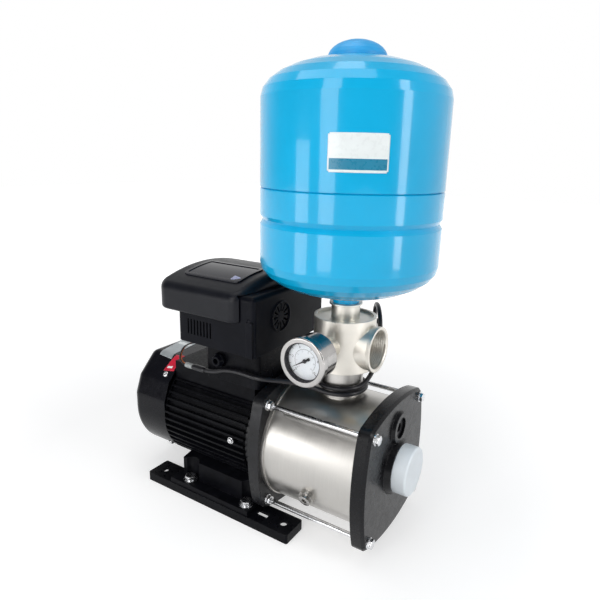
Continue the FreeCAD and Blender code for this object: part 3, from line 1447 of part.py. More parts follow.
def cable_route():
    """Corner points of the cable: up from the plug, over to the outlet side, round the stub, to the drive."""
    loop = [(0, 0, 0), (0, 0, 10.5), (2.8, -4.4, 19.4), (7.5, -12, 24.4),
            (18, -29, 24.6), (28, -45, 15), (31, -50, -2), (31, -50, -34)]
    route = [(f"tank_axis + {x}", f"{PLUG_MIDDLE} + {y}", f"{PLUG_TOP} + {z}") for x, y, z in loop]
    for step in range(WRAP_STEPS + 1):
        angle = f"{step * 45} deg"
        route.append((f"tank_axis + cable_wrap_radius * cos({angle})", f"-cable_wrap_radius * sin({angle})",
                      f"wrap_top - wrap_pitch * {step} / 8"))
    route += [("tank_axis - 24", "-cable_wrap_radius", "cable_end_height + 1"),
              ("tank_axis - 50", "-cable_front + 24", "cable_end_height + 5"),
              ("tank_axis - 76", "-cable_front", "cable_end_height + 9"),
              ("cable_end + 60", "-cable_front", "cable_end_height + 11"),
              ("cable_end + 34", "-cable_front", "cable_end_height + 9"),
              ("cable_end + 16", "-cable_front", "cable_end_height + 1"),
              ("cable_end", "-cable_front", "cable_end_height")]
    return route


def tube(name, route, radius):
    """Round tube along straight runs joined by tangent arcs."""
    points = [Vector(*[number(part) for part in spot]) for spot in route]
    edges, bends, start = [], [], points[0]
    for before, corner, after in zip(points, points[1:], points[2:]):
        back, ahead = before - corner, after - corner
        half_turn = (math.pi - back.getAngle(ahead)) / 2
        reach = BEND_SHARE * min(back.Length, ahead.Length)
        bend = reach / math.tan(half_turn)
        entry = corner + back.normalize() * reach
        leave = corner + ahead.normalize() * reach
        inward = (entry + leave) / 2 - corner
        middle = corner + inward.normalize() * (math.hypot(reach, bend) - bend)
        edges += [Part.LineSegment(start, entry).toShape(), Part.Arc(entry, middle, leave).toShape()]
        bends.append(round(bend, 1))
        start = leave
    edges.append(Part.LineSegment(start, points[-1]).toShape())
    wire = Part.Wire(edges)
    section = Part.Wire(Part.Circle(points[0], points[1] - points[0], number(radius)).toShape())
    solid = wire.makePipeShell([section], True, False)
    expected = math.pi * number(radius) ** 2 * wire.Length
    print(name, "length", round(wire.Length, 1), "bends", bends, "volume share", round(solid.Volume / expected, 4))
    piece = DOC.addObject("Part::Feature", name)
    piece.Shape = solid
    return piece


def sensor_cable():
    """Cable of the sensor, its two end sleeves and the wires into the drive."""
    node(tube("sensor_cable", cable_route(), "cable_radius"), "sensor_cable")
    sleeve_start = ("cable_end - cable_sleeve_length", "-cable_front", "cable_end_height")
    ferrule_start = ("cable_end - cable_sleeve_length - cable_ferrule_length", "-cable_front", "cable_end_height")
    sleeve = rod(sleeve_start, "x", "cable_sleeve_radius", "cable_sleeve_length")
    ferrule = rod(ferrule_start, "x", "cable_ferrule_radius", "cable_ferrule_length")
    node(joined([sleeve, ferrule]), "cable_sleeve")
    wires = []
    for side in (-1, 1):
        shift = f"{side} * wire_radius * 1.3"
        end = ferrule_start[0]
        route = [(end, f"-cable_front + {shift}", "cable_end_height"),
                 (f"{end} - 8", f"-cable_front + {shift}", "cable_end_height + 1"),
                 (f"{end} - 14", f"-cable_front + 3 + {shift}", "cable_end_height + 10"),
                 (f"{end} - 8", f"-cable_front + 8 + {shift}", "cable_end_height + 24"),
                 ("cable_end - wire_step - 6", f"-wire_entry + {shift}", "box_bottom - 12"),
                 ("cable_end - wire_step", f"-wire_entry + {shift}", "box_bottom - 2"),
                 ("cable_end - wire_step", f"-wire_entry + {shift}", "box_bottom + box_wall - wire_radius")]
        wires.append(tube("wire", route, "wire_radius"))
    node(grouped(wires), "sensor_wires")


def write_parts():
    """Checks every object and writes each sub-part to its own file."""
    DOC.recompute()
    for thing in DOC.Objects:
        if "Invalid" in thing.State or "Error" in thing.State:
            raise RuntimeError(f"{thing.Name} ({thing.Label}) has state {thing.State}")
    os.makedirs("parts", exist_ok=True)
    for thing in NODES:
        if thing.Shape.isNull() or not thing.Shape.isValid():
            raise RuntimeError(f"{thing.Label} has no valid shape")
        thing.Shape.exportStep(f"parts/{thing.Label}.step")
    print(len(NODES), "sub-parts written")


for build in (base_frame, foot_fasteners, motor_frame, stator_and_rotor, bearings, rear_shield, fan_cover,
              fan_cover_screws, motor_fan, motor_stool, shaft, pump_sleeve, drain_plug, end_cover, stay_fasteners,
              discharge_plate, shaft_seal, stages, impeller_nut, inlet_cap, priming_plug, manifold, gauge,
              gauge_movement, gauge_pointer, gauge_stem, pressure_sensor, tank_lower_shell, tank_upper_shell,
              tank_fittings, tank_bladder, drive_neck, drive_base, drive_inside, drive_hood, control_panel,
              sensor_cable):
    build()
write_parts()
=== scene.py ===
import math

import bmesh
import bpy
from mathutils import Matrix, Vector


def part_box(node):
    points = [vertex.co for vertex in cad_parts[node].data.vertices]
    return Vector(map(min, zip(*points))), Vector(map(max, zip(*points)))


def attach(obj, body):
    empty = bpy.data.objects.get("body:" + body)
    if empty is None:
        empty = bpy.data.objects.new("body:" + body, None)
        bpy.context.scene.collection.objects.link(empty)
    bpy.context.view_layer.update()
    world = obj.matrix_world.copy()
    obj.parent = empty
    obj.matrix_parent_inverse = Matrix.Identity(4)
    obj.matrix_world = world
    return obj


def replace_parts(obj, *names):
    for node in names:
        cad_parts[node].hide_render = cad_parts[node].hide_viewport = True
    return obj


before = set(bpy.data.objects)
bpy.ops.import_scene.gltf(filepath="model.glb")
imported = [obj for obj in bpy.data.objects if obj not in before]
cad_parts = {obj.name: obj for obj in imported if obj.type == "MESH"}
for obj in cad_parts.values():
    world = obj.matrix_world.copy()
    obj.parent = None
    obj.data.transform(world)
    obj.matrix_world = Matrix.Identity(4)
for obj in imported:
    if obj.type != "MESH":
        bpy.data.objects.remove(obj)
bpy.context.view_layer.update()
MM = 0.001

# Places and sizes shared with the part's source, in metres
TANK_X, SHAFT_Z = 0.136, 0.095
TANK = Vector((TANK_X, 0, 0))
PORT = Vector((TANK_X, 0, 0.233))
GAUGE = Vector((TANK_X, 0, 0.237))
DIAL_Y = -0.0865
PLUG_TOP = Vector((TANK_X, 0.0825, 0.242))
CABLE_R, WIRE_R = 0.0028, 0.0009


# Materials

def node(tree, kind, **values):
    """New shader node with its sockets and settings filled in."""
    made = tree.nodes.new(kind)
    for key, value in values.items():
        if key in made.inputs:
            made.inputs[key].default_value = value
        else:
            setattr(made, key, value)
    return made


def calculated(tree, operation, first, second, clamp=False):
    """Result of a Math node on two sockets."""
    made = node(tree, "ShaderNodeMath", operation=operation, use_clamp=clamp)
    tree.links.new(first, made.inputs[0])
    tree.links.new(second, made.inputs[1])
    return made.outputs[0]


def spread_of(tree, source, low, high, start=0.35, end=0.65):
    """Maps a value from the range start to end, for a noise its middle range, to the range low to high."""
    mapped = node(tree, "ShaderNodeMapRange", clamp=True)
    for socket, value in zip(("From Min", "From Max", "To Min", "To Max"), (start, end, low, high)):
        mapped.inputs[socket].default_value = value
    tree.links.new(source, mapped.inputs["Value"])
    return mapped.outputs["Result"]


def noise(tree, coords, scale, detail=4, stretch=None, rough=0.55):
    """Noise texture in the frame's own metres, stretched where asked."""
    if stretch:
        mapping = node(tree, "ShaderNodeMapping")
        mapping.inputs["Scale"].default_value = stretch
        tree.links.new(coords, mapping.inputs["Vector"])
        coords = mapping.outputs["Vector"]
    made = node(tree, "ShaderNodeTexNoise", Scale=scale, Detail=detail, Roughness=rough)
    tree.links.new(coords, made.inputs["Vector"])
    return made.outputs["Fac"]


def mixed(tree, factor, first, second):
    """Colour between two, each a colour or a socket."""
    made = node(tree, "ShaderNodeMix", data_type="RGBA")
    tree.links.new(factor, made.inputs["Factor"])
    for socket, value in ((made.inputs[6], first), (made.inputs[7], second)):
        if isinstance(value, tuple):
            socket.default_value = (*value, 1)
        else:
            tree.links.new(value, socket)
    return made.outputs[2]


def object_coords(tree):
    return node(tree, "ShaderNodeTexCoord").outputs["Object"]


def edge_mask(tree, radius, low, high):
    """1 on edges, where the rounded normal turns away from the true one, and 0 on flat faces."""
    rounded = node(tree, "ShaderNodeBevel", samples=6, Radius=radius)
    shape = node(tree, "ShaderNodeNewGeometry")
    dot = node(tree, "ShaderNodeVectorMath", operation="DOT_PRODUCT")
    tree.links.new(rounded.outputs["Normal"], dot.inputs[0])
    tree.links.new(shape.outputs["Normal"], dot.inputs[1])
    return spread_of(tree, dot.outputs["Value"], 1, 0, low, high)


GREY_DUST = (0.09, 0.092, 0.1)
DUST_SCALE, SCUFF_SCALE = 55, 260
DARK_STREAK = 0.82


def surface(name, colour, rough, metallic=0.0, shade=0.12, patch=30, rough_spread=0.06, grain=900,
            bump=0.15, depth=0.00005, stretch=None, round_edge=0.0005, wear=None, wear_radius=0.0009,
            dust=0.0, dust_colour=GREY_DUST, coat=0.0, coat_rough=0.05, specular=0.5):
    """Procedural finish: broad colour variation, uneven gloss, fine grain, softened edges, wear and dust."""
    material = bpy.data.materials.new(name)
    material.use_nodes = True
    tree = material.node_tree
    shader = tree.nodes["Principled BSDF"]
    shader.inputs["Metallic"].default_value = metallic
    shader.inputs["Coat Weight"].default_value = coat
    shader.inputs["Coat Roughness"].default_value = coat_rough
    shader.inputs["Specular IOR Level"].default_value = specular
    coords = object_coords(tree)
    broad = noise(tree, coords, patch, 5)
    dark = tuple(c * (1 - shade) for c in colour)
    light = tuple(min(c * (1 + shade), 1) for c in colour)
    base = mixed(tree, spread_of(tree, broad, 0, 1), dark, light)
    if stretch:
        streaks = spread_of(tree, noise(tree, coords, 1, 3, stretch), 0, 0.5, 0.3, 0.7)
        base = mixed(tree, streaks, base, tuple(c * DARK_STREAK for c in colour))
    if dust:
        settled = noise(tree, coords, DUST_SCALE, 8, rough=0.7)
        base = mixed(tree, spread_of(tree, settled, 0, dust, 0.5, 0.75), base, dust_colour)
    if wear:
        scuffs = spread_of(tree, noise(tree, coords, SCUFF_SCALE, 6, rough=0.7), 0, 1, 0.48, 0.66)
        edges = calculated(tree, "MULTIPLY", edge_mask(tree, wear_radius, 0.8, 0.97), scuffs)
        base = mixed(tree, edges, base, wear)
    tree.links.new(base, shader.inputs["Base Color"])
    uneven = noise(tree, coords, patch * 4, 6)
    gloss = spread_of(tree, uneven, rough - rough_spread, rough + rough_spread)
    tree.links.new(gloss, shader.inputs["Roughness"])
    fine = noise(tree, coords, 1, 4, stretch) if stretch else noise(tree, coords, grain, 4)
    relief = node(tree, "ShaderNodeBump", Strength=bump, Distance=depth)
    tree.links.new(fine, relief.inputs["Height"])
    if round_edge:
        rounded = node(tree, "ShaderNodeBevel", samples=4, Radius=round_edge)
        tree.links.new(rounded.outputs["Normal"], relief.inputs["Normal"])
    tree.links.new(relief.outputs["Normal"], shader.inputs["Normal"])
    return material


def clear_glass(name):
    """Glass of the gauge: clear, with faint smears in its gloss."""
    glass = bpy.data.materials.new(name)
    glass.use_nodes = True
    tree = glass.node_tree
    shader = tree.nodes["Principled BSDF"]
    shader.inputs["Transmission Weight"].default_value = 1.0
    shader.inputs["IOR"].default_value = 1.12
    smears = noise(tree, object_coords(tree), 90, 5)
    tree.links.new(spread_of(tree, smears, 0.0, 0.012), shader.inputs["Roughness"])
    tint = mixed(tree, spread_of(tree, smears, 0, 1), (0.96, 0.98, 0.99), (1, 1, 1))
    tree.links.new(tint, shader.inputs["Base Color"])
    return glass


# Look of each finish: paint, cast and moulded black, bright metal, plastic, print and rubber
DULL = 0.07
LOOKS = {
    "black_paint": dict(colour=(0.0036, 0.0039, 0.0055), rough=0.34, shade=0.25, patch=45, rough_spread=0.1,
                        grain=1300, bump=0.35, depth=0.0001, wear=(0.05, 0.052, 0.058), dust=0.05,
                        specular=DULL),
    "fin_paint": dict(colour=(0.0034, 0.0036, 0.0052), rough=0.4, shade=0.25, patch=80, rough_spread=0.1,
                      grain=1300, bump=0.35, depth=0.0001, wear=(0.045, 0.047, 0.052), wear_radius=0.0006,
                      dust=0.07, specular=DULL),
    "cast_black": dict(colour=(0.0042, 0.0043, 0.0058), rough=0.27, shade=0.15, rough_spread=0.05,
                       bump=0.06, round_edge=0.0012, wear=(0.07, 0.07, 0.075), wear_radius=0.001,
                       dust=0.015, specular=0.22),
    "stool_paint": dict(colour=(0.0065, 0.0068, 0.0085), rough=0.36, shade=0.25, patch=60, rough_spread=0.1,
                        grain=560, bump=0.5, depth=0.0002, round_edge=0.0012, wear=(0.06, 0.062, 0.066),
                        dust=0.14, specular=0.3),
    "black_plastic": dict(colour=(0.0038, 0.0043, 0.0072), rough=0.34, rough_spread=0.05, grain=2200,
                          bump=0.3, round_edge=0.001, dust=0.04, specular=DULL),
    "hood_plastic": dict(colour=(0.0048, 0.0055, 0.009), rough=0.36, shade=0.1, rough_spread=0.04, grain=2600,
                         bump=0.35, round_edge=0.0012, dust=0.03, specular=0.2),
    "cover_paint": dict(colour=(0.0036, 0.0038, 0.0062), rough=0.24, shade=0.15, patch=25, rough_spread=0.05,
                        grain=520, bump=0.2, depth=0.00008, wear=(0.04, 0.042, 0.05), dust=0.03,
                        specular=0.14),
    "zinc": dict(colour=(0.74, 0.745, 0.76), rough=0.22, metallic=1.0, patch=220, rough_spread=0.08,
                 grain=1500, bump=0.2, round_edge=0.0003),
    "black_bolt": dict(colour=(0.02, 0.02, 0.024), rough=0.35, metallic=0.6, shade=0.2, patch=220, grain=1500,
                       bump=0.2, round_edge=0.0003),
    "polished": dict(colour=(0.43, 0.42, 0.41), rough=0.17, metallic=1.0, shade=0.06, patch=80,
                     rough_spread=0.05, bump=0.08, depth=0.00003),
    "stainless": dict(colour=(0.55, 0.535, 0.51), rough=0.33, metallic=1.0, shade=0.04, patch=16,
                      rough_spread=0.03, bump=0.012, depth=0.00001, stretch=(2600, 26, 26),
                      round_edge=0.0004),
    "dull_steel": dict(colour=(0.5, 0.48, 0.45), rough=0.38, metallic=1.0, shade=0.15, patch=60,
                       rough_spread=0.08, grain=1200),
    "nickel": dict(colour=(0.72, 0.69, 0.63), rough=0.41, metallic=1.0, shade=0.08, patch=42, bump=0.12,
                   depth=0.00008, round_edge=0.0008),
    "brass": dict(colour=(0.62, 0.42, 0.16), rough=0.3, metallic=1.0),
    "copper": dict(colour=(0.5, 0.18, 0.07), rough=0.35, metallic=0.9, stretch=(40, 1500, 1500)),
    "ceramic": dict(colour=(0.72, 0.7, 0.66), rough=0.35, grain=1800),
    "pale_plastic": dict(colour=(0.84, 0.90, 0.94), rough=0.36, shade=0.03, patch=60, grain=1400, bump=0.25,
                         depth=0.00006, round_edge=0.0012, specular=0.4),
    "dial": dict(colour=(0.80, 0.82, 0.85), rough=0.5, shade=0.02, grain=2000, bump=0.05, round_edge=0),
    "ink": dict(colour=(0.012, 0.012, 0.016), rough=0.5, grain=2000, bump=0.05, round_edge=0),
    "tank_paint": dict(colour=(0.0008, 0.43, 0.76), rough=0.2, shade=0.04, patch=14, rough_spread=0.04,
                       grain=340, bump=0.08, depth=0.00006, round_edge=0.0008, dust=0.03,
                       dust_colour=(0.1, 0.55, 0.82), specular=0.2, coat=0.45, coat_rough=0.04),
    "cap_plastic": dict(colour=(0.03, 0.37, 0.76), rough=0.4, shade=0.06, patch=60, grain=1500, bump=0.3,
                        depth=0.00006, round_edge=0.0012, specular=0.35),
    "rubber": dict(colour=(0.012, 0.012, 0.015), rough=0.34, shade=0.15, patch=120, grain=1500, bump=0.25,
                   round_edge=0, specular=0.4),
    "panel_gloss": dict(colour=(0.0045, 0.005, 0.011), rough=0.1, shade=0.15, patch=40, rough_spread=0.03,
                        bump=0.04, depth=0.00002, specular=0.35),
    "label_white": dict(colour=(0.82, 0.87, 0.87), rough=0.3, shade=0.03, patch=60, grain=1800, bump=0.08,
                        round_edge=0),
    "label_blue": dict(colour=(0.015, 0.22, 0.36), rough=0.3, shade=0.05, patch=60, grain=1800, bump=0.08,
                       round_edge=0),
    "label_silver": dict(colour=(0.40, 0.44, 0.46), rough=0.34, metallic=0.45, patch=90, bump=0.1,
                         round_edge=0, specular=0.4),
    "label_red": dict(colour=(0.55, 0.008, 0.035), rough=0.34, shade=0.1, patch=90, bump=0.2, round_edge=0),
    "lavender": dict(colour=(0.36, 0.36, 0.52), rough=0.4, shade=0.05, patch=200, grain=1500, bump=0.05,
                     round_edge=0),
    "grey_tube": dict(colour=(0.32, 0.34, 0.34), rough=0.42, shade=0.1, patch=200, grain=1500, bump=0.2,
                      round_edge=0),
    "board": dict(colour=(0.03, 0.16, 0.06), rough=0.4, shade=0.2, patch=300, grain=1500),
    "alloy": dict(colour=(0.55, 0.56, 0.57), rough=0.4, metallic=1.0, shade=0.1, patch=80),
    "orange_wire": dict(colour=(0.5, 0.13, 0.03), rough=0.4, patch=200, grain=1500, round_edge=0),
}
FINISH = {name: surface(name, **look) for name, look in LOOKS.items()}
FINISH["glass"] = clear_glass("gauge_glass")

NODE_FINISH = {
    "black_paint": ("base_frame", "drive_neck"),
    "fin_paint": ("rear_shield", "motor_frame"),
    "stool_paint": ("motor_stool",),
    "cast_black": ("end_cover",),
    "cover_paint": ("fan_cover",),
    "black_plastic": ("drive_base", "motor_fan", "drive_fan", "cable_gland", "sensor_plug"),
    "hood_plastic": ("drive_hood",),
    "zinc": ("foot_bolts", "foot_washers", "foot_nuts", "fan_cover_screws", "stay_bolts", "stay_washers",
             "shaft", "rear_bearing", "front_bearing", "impeller_nut"),
    "stainless": ("pump_sleeve",),
    "dull_steel": ("chambers", "impeller_1", "impeller_2", "impeller_3", "impeller_4", "discharge_plate",
                   "stator_core", "rotor_core", "tank_collar"),
    "polished": ("gauge_case", "gauge_bezel", "drain_plug", "pressure_sensor"),
    "black_bolt": ("priming_plug",),
    "nickel": ("manifold", "tank_nipple"),
    "brass": ("gauge_stem", "gauge_movement", "tank_air_valve"),
    "copper": ("stator_windings",),
    "ceramic": ("seal_seat", "seal_ring"),
    "pale_plastic": ("inlet_cap",),
    "dial": ("gauge_dial",),
    "glass": ("gauge_glass",),
    "ink": ("gauge_pointer",),
    "tank_paint": ("tank_lower_shell", "tank_upper_shell"),
    "cap_plastic": ("tank_valve_cap",),
    "rubber": ("tank_bladder", "sensor_cable", "cable_sleeve", "sensor_wires"),
    "panel_gloss": ("control_panel",),
    "board": ("circuit_board",),
    "alloy": ("drive_heat_sink",),
}
for finish, names in NODE_FINISH.items():
    for name in names:
        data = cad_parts[name].data
        data.materials.clear()
        data.materials.append(FINISH[finish])
assert sum(len(names) for names in NODE_FINISH.values()) == len(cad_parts)


# Shapes

def piece(name, mesh, body, finish, smooth=True):
    """Object from a bmesh, riding on a body, with one or more finishes."""
    data = bpy.data.meshes.new(name)
    mesh.to_mesh(data)
    mesh.free()
    made = bpy.data.objects.new(name, data)
    bpy.context.scene.collection.objects.link(made)
    for each in [finish] if isinstance(finish, str) else finish:
        data.materials.append(FINISH[each])
    if smooth:
        data.shade_smooth()
    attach(made, body)
    return made


def facing(axis):
    """Matrix that turns +Z to an axis."""
    return Vector(axis).to_track_quat("Z", "Y").to_matrix().to_4x4()


def strip(mesh, first, second):
    """Faces between two closed rows of as many points."""
    for k in range(len(first)):
        after = (k + 1) % len(first)
        mesh.faces.new((first[k], first[after], second[after], second[k]))


def lathe(mesh, profile, place, steps=96, shape=None):
    """Surface of revolution about the local Z of a placement. shape(angle, r, z) may change the radius."""
    rings = []
    for r, z in profile:
        row = []
        for k in range(steps):
            angle = 2 * math.pi * k / steps
            radius = shape(angle, r, z) if shape else r
            spot = Vector((radius * math.cos(angle), radius * math.sin(angle), z))
            row.append(mesh.verts.new(place @ spot))
        rings.append(row)
    for first, second in zip(rings, rings[1:]):
        strip(mesh, first, second)
    return rings


def rounded(points, radius, steps=4):
    """Profile with its inner corners rounded to at most a radius."""
    made = [points[0]]
    for before, corner, after in zip(points, points[1:], points[2:]):
        a, b, c = Vector(before), Vector(corner), Vector(after)
        cut = min(radius, (a - b).length * 0.45, (c - b).length * 0.45)
        start, end = b + (a - b).normalized() * cut, b + (c - b).normalized() * cut
        for k in range(steps + 1):
            t = k / steps
            made.append(tuple(start * (1 - t) ** 2 + b * 2 * t * (1 - t) + end * t * t))
    made.append(points[-1])
    return made


def cap_ends(mesh, *rings):
    for row in rings:
        mesh.faces.new(row)


def grid(mesh, points, mask=None, material=None):
    """Faces over a grid of points, only where the mask says."""
    verts = [[mesh.verts.new(p) for p in row] for row in points]
    for i in range(len(verts) - 1):
        for j in range(len(verts[0]) - 1):
            if mask is None or mask(i, j):
                face = mesh.faces.new((verts[i][j], verts[i][j + 1], verts[i + 1][j + 1], verts[i + 1][j]))
                if material:
                    face.material_index = material(i, j)
    bmesh.ops.delete(mesh, geom=[v for v in mesh.verts if not v.link_faces], context="VERTS")


def in_round_corners(u, v, wide, high, corner):
    """Whether a point of a rectangle is within its rounded corners."""
    beside = max(corner - u, u - wide + corner, 0)
    above = max(corner - v, v - high + corner, 0)
    return math.hypot(beside, above) <= corner


def thicken(made, depth):
    """Solidify modifier: a sheet of real thickness."""
    wall = made.modifiers.new("wall", "SOLIDIFY")
    wall.thickness = depth
    wall.offset = 1.0


# Camera at the photograph's angle, from a fit to points in the photograph
YAW, PITCH, ROLL = (math.radians(v) for v in (32.4614, 15.1277, -1.3501))
CAMERA_PLACE = (0.411502, -0.532709, 0.444926)
FOCAL_PIXELS, PHOTO_PIXELS, SENSOR_MM = 533.697, 600, 36
ahead = Vector((-math.sin(YAW) * math.cos(PITCH), math.cos(YAW) * math.cos(PITCH), -math.sin(PITCH)))
level = Vector((math.cos(YAW), math.sin(YAW), 0))
under = ahead.cross(level)
right = math.cos(ROLL) * level + math.sin(ROLL) * under
down = -math.sin(ROLL) * level + math.cos(ROLL) * under
camera = bpy.data.objects.new("camera", bpy.data.cameras.new("camera"))
bpy.context.scene.collection.objects.link(camera)
turn = Matrix((right, -down, -ahead)).transposed()
camera.matrix_world = Matrix.Translation(CAMERA_PLACE) @ turn.to_4x4()
camera.data.sensor_width = SENSOR_MM
camera.data.lens = FOCAL_PIXELS / PHOTO_PIXELS * SENSOR_MM
camera.data.clip_start = 0.01
bpy.context.scene.camera = camera
bpy.context.scene.view_settings.view_transform = "Standard"

# Cable of the sensor and its wires, through the same points as in the part's source.
# It goes up from the plug and over to the outlet side, round the stub, and on to the drive.
COIL_R, COIL_TOP, COIL_DROP = 0.031, 0.187, 0.007
route = [PLUG_TOP + Vector(p) * MM for p in ((0, 0, 0), (0, 0, 10.5), (2.8, -4.4, 19.4), (7.5, -12, 24.4),
                                             (18, -29, 24.6), (28, -45, 15), (31, -50, -2), (31, -50, -34))]
for k in range(11):
    angle = math.radians(45 * k)
    route.append(Vector((TANK_X + COIL_R * math.cos(angle), -COIL_R * math.sin(angle),
                         COIL_TOP - COIL_DROP * k / 8)))
route += [Vector(p) * MM for p in ((112, -31, 181), (86, -42, 185), (60, -66, 189), (34, -66, 191),
                                   (8, -66, 189), (-10, -66, 181), (-26, -66, 180))]
WIRE_ROUTE = ((-58, -66, 180), (-66, -66, 181), (-72, -63, 190), (-66, -58, 204), (-42, -56, 212),
              (-36, -56, 222), (-36, -56, 225.5))
WIRE_SPACE = WIRE_R * 1.3


def curve_piece(name, points, radius, body, finish):
    """Round tube on a NURBS spline through control points."""
    data = bpy.data.curves.new(name, "CURVE")
    data.dimensions = "3D"
    data.bevel_depth = radius
    data.bevel_resolution = 6
    data.resolution_u = 12
    data.use_fill_caps = True
    spline = data.splines.new("NURBS")
    spline.points.add(len(points) - 1)
    for target, point in zip(spline.points, points):
        target.co = (*point, 1)
    spline.order_u = 3
    spline.use_endpoint_u = True
    data.materials.append(FINISH[finish])
    made = bpy.data.objects.new(name, data)
    bpy.context.scene.collection.objects.link(made)
    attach(made, body)
    return made


cable = curve_piece("cable", route, CABLE_R, "pump_unit", "rubber")
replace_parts(cable, "sensor_cable")
sleeve = bmesh.new()
end = Matrix.Translation(route[-1]) @ facing((-1, 0, 0))
lathe(sleeve, rounded([(0.0029, -0.001), (0.0036, -0.001), (0.004, 0.002), (0.004, 0.017), (0.0035, 0.02),
                       (0.0014, 0.0205)], 0.0006), end, 40)
sleeve = piece("cable_end_sleeve", sleeve, "pump_unit", "rubber")
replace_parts(sleeve, "cable_sleeve")
ferrule = bmesh.new()
lathe(ferrule, rounded([(0.0012, 0.0195), (0.0034, 0.0195), (0.0035, 0.03), (0.0033, 0.032), (0.0022, 0.032),
                        (0.0022, 0.029), (0.0002, 0.029)], 0.0004), end, 40)
ferrule = piece("cable_ferrule", ferrule, "pump_unit", "grey_tube")
wires = []
for name, side, finish in (("wire_front", -1, "rubber"), ("wire_back", 1, "orange_wire")):
    shift = Vector((0, side * WIRE_SPACE / MM, 0))
    points = [(Vector(p) + shift) * MM for p in WIRE_ROUTE]
    wires.append(curve_piece(name, points, WIRE_R, "pump_unit", finish))
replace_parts(wires[0], "sensor_wires")
bpy.context.view_layer.update()

# Thread inside the outlet, from its face inwards, with the profile of one turn in millimetres
OUTLET_FACE = 0.0432
PITCH_MM, TURN_STEPS, THREAD_MM = 2.31, 96, 16
PROFILE_MM = [(22.37, 0), (22.37, 0.4), (21.4, 1.05), (21.4, 1.25), (22.37, 1.9)]
thread = bmesh.new()
rows = []
for k in range(int(THREAD_MM / PITCH_MM * TURN_STEPS)):
    angle = 2 * math.pi * k / TURN_STEPS
    along = k * PITCH_MM / TURN_STEPS
    rows.append([Vector((PORT.x + OUTLET_FACE - (along + z) * MM, PORT.y + r * MM * math.cos(angle),
                         PORT.z + r * MM * math.sin(angle))) for r, z in PROFILE_MM])
grid(thread, rows)
piece("outlet_thread", thread, "pump_unit", "nickel")

# Bare label on the tank with a coloured band
LABEL_R, LABEL_LOW, LABEL_HEIGHT, LABEL_WIDTH, LABEL_CORNER = 0.1002, 0.431, 0.035, 0.0565, 0.003
LABEL_START, LABEL_SWEEP = -76, 32.4
COLS, ROWS = 40, 28
label = bmesh.new()
angles = [math.radians(LABEL_START + LABEL_SWEEP * j / COLS) for j in range(COLS + 1)]
rows = []
for i in range(ROWS + 1):
    z = LABEL_LOW + LABEL_HEIGHT * i / ROWS
    rows.append([TANK + Vector((LABEL_R * math.cos(a), LABEL_R * math.sin(a), z)) for a in angles])


def label_mask(i, j):
    u, v = (j + 0.5) / COLS * LABEL_WIDTH, (i + 0.5) / ROWS * LABEL_HEIGHT
    return in_round_corners(u, v, LABEL_WIDTH, LABEL_HEIGHT, LABEL_CORNER)


def label_band(i, j):
    return 1 if 2 <= i <= 9 and 1 <= j <= COLS - 2 else 0


grid(label, rows, label_mask, label_band)
label = piece("tank_label", label, "pump_unit", ["label_white", "label_blue"])
thicken(label, 0.00015)

# Marks and numbers on the gauge's dial: an outer scale with ticks outside, an inner one with its own ticks
START, SWEEP = math.radians(225), math.radians(270)
OUTER_R, INNER_R = 0.0207, 0.0129
PRINT_LIFT = 0.00005


def on_dial(angle, r):
    """Point on the dial, seen from the front: angles count anticlockwise from the viewer's right."""
    return Vector((GAUGE.x + r * math.cos(angle), DIAL_Y - PRINT_LIFT, GAUGE.z + r * math.sin(angle)))


def dial_bar(mesh, angle, inner, outer, width):
    """Tick along a radius."""
    side = Vector((-math.sin(angle), 0, math.cos(angle))) * width / 2
    a, b = on_dial(angle, inner), on_dial(angle, outer)
    mesh.faces.new([mesh.verts.new(p) for p in (a - side, b - side, b + side, a + side)])


marks = bmesh.new()
for k in range(51):
    inner = 0.0175 if k % 10 == 0 else 0.0185 if k % 5 == 0 else 0.0194
    dial_bar(marks, START - SWEEP * k / 50, inner, OUTER_R, 0.00062 if k % 5 == 0 else 0.00032)
for k in range(36):
    dial_bar(marks, START - SWEEP * k / 35, 0.0116 if k % 5 == 0 else 0.0122, INNER_R, 0.0003)
for radius, width in ((INNER_R, 0.00022), (OUTER_R, 0.0003)):
    low, high = radius - width / 2, radius + width / 2
    for k in range(90):
        a, b = START - SWEEP * k / 90, START - SWEEP * (k + 1) / 90
        corners = ((a, low), (b, low), (b, high), (a, high))
        marks.faces.new([marks.verts.new(on_dial(angle, r)) for angle, r in corners])
piece("dial_marks", marks, "pump_unit", "ink", smooth=False)


def number_mesh(text, angle, radius, size):
    """One plain number on the dial, upright, as a flat mesh."""
    data = bpy.data.curves.new("mark", "FONT")
    data.body = text
    data.size = size
    data.align_x = "CENTER"
    data.align_y = "CENTER"
    holder = bpy.data.objects.new("mark_font", data)
    bpy.context.scene.collection.objects.link(holder)
    bpy.context.view_layer.update()
    mesh = bpy.data.meshes.new_from_object(holder.evaluated_get(bpy.context.evaluated_depsgraph_get()))
    bpy.data.objects.remove(holder)
    mesh.transform(Matrix.Translation(on_dial(angle, radius)) @ Matrix.Rotation(math.pi / 2, 4, "X"))
    return mesh


numbers = bmesh.new()
for count, radius, size in ((6, 0.0156, 0.0038), (8, 0.0103, 0.0018)):
    for k in range(count):
        numbers.from_mesh(number_mesh(str(k * 2), START - SWEEP * k / (count - 1), radius, size))
piece("dial_numbers", numbers, "pump_unit", "ink", smooth=False)


# Fasteners

def hexagon(radius, low, high):
    """Radius of a hexagon round its axis, cut by a cone at its ends."""
    def at(angle, r, z):
        if r < radius:
            return r
        side = radius * math.cos(math.pi / 6) / math.cos(angle % (math.pi / 3) - math.pi / 6)
        reach = min(z - low, high - z)
        return min(side, radius * 0.9 + reach * 1.7)
    return at


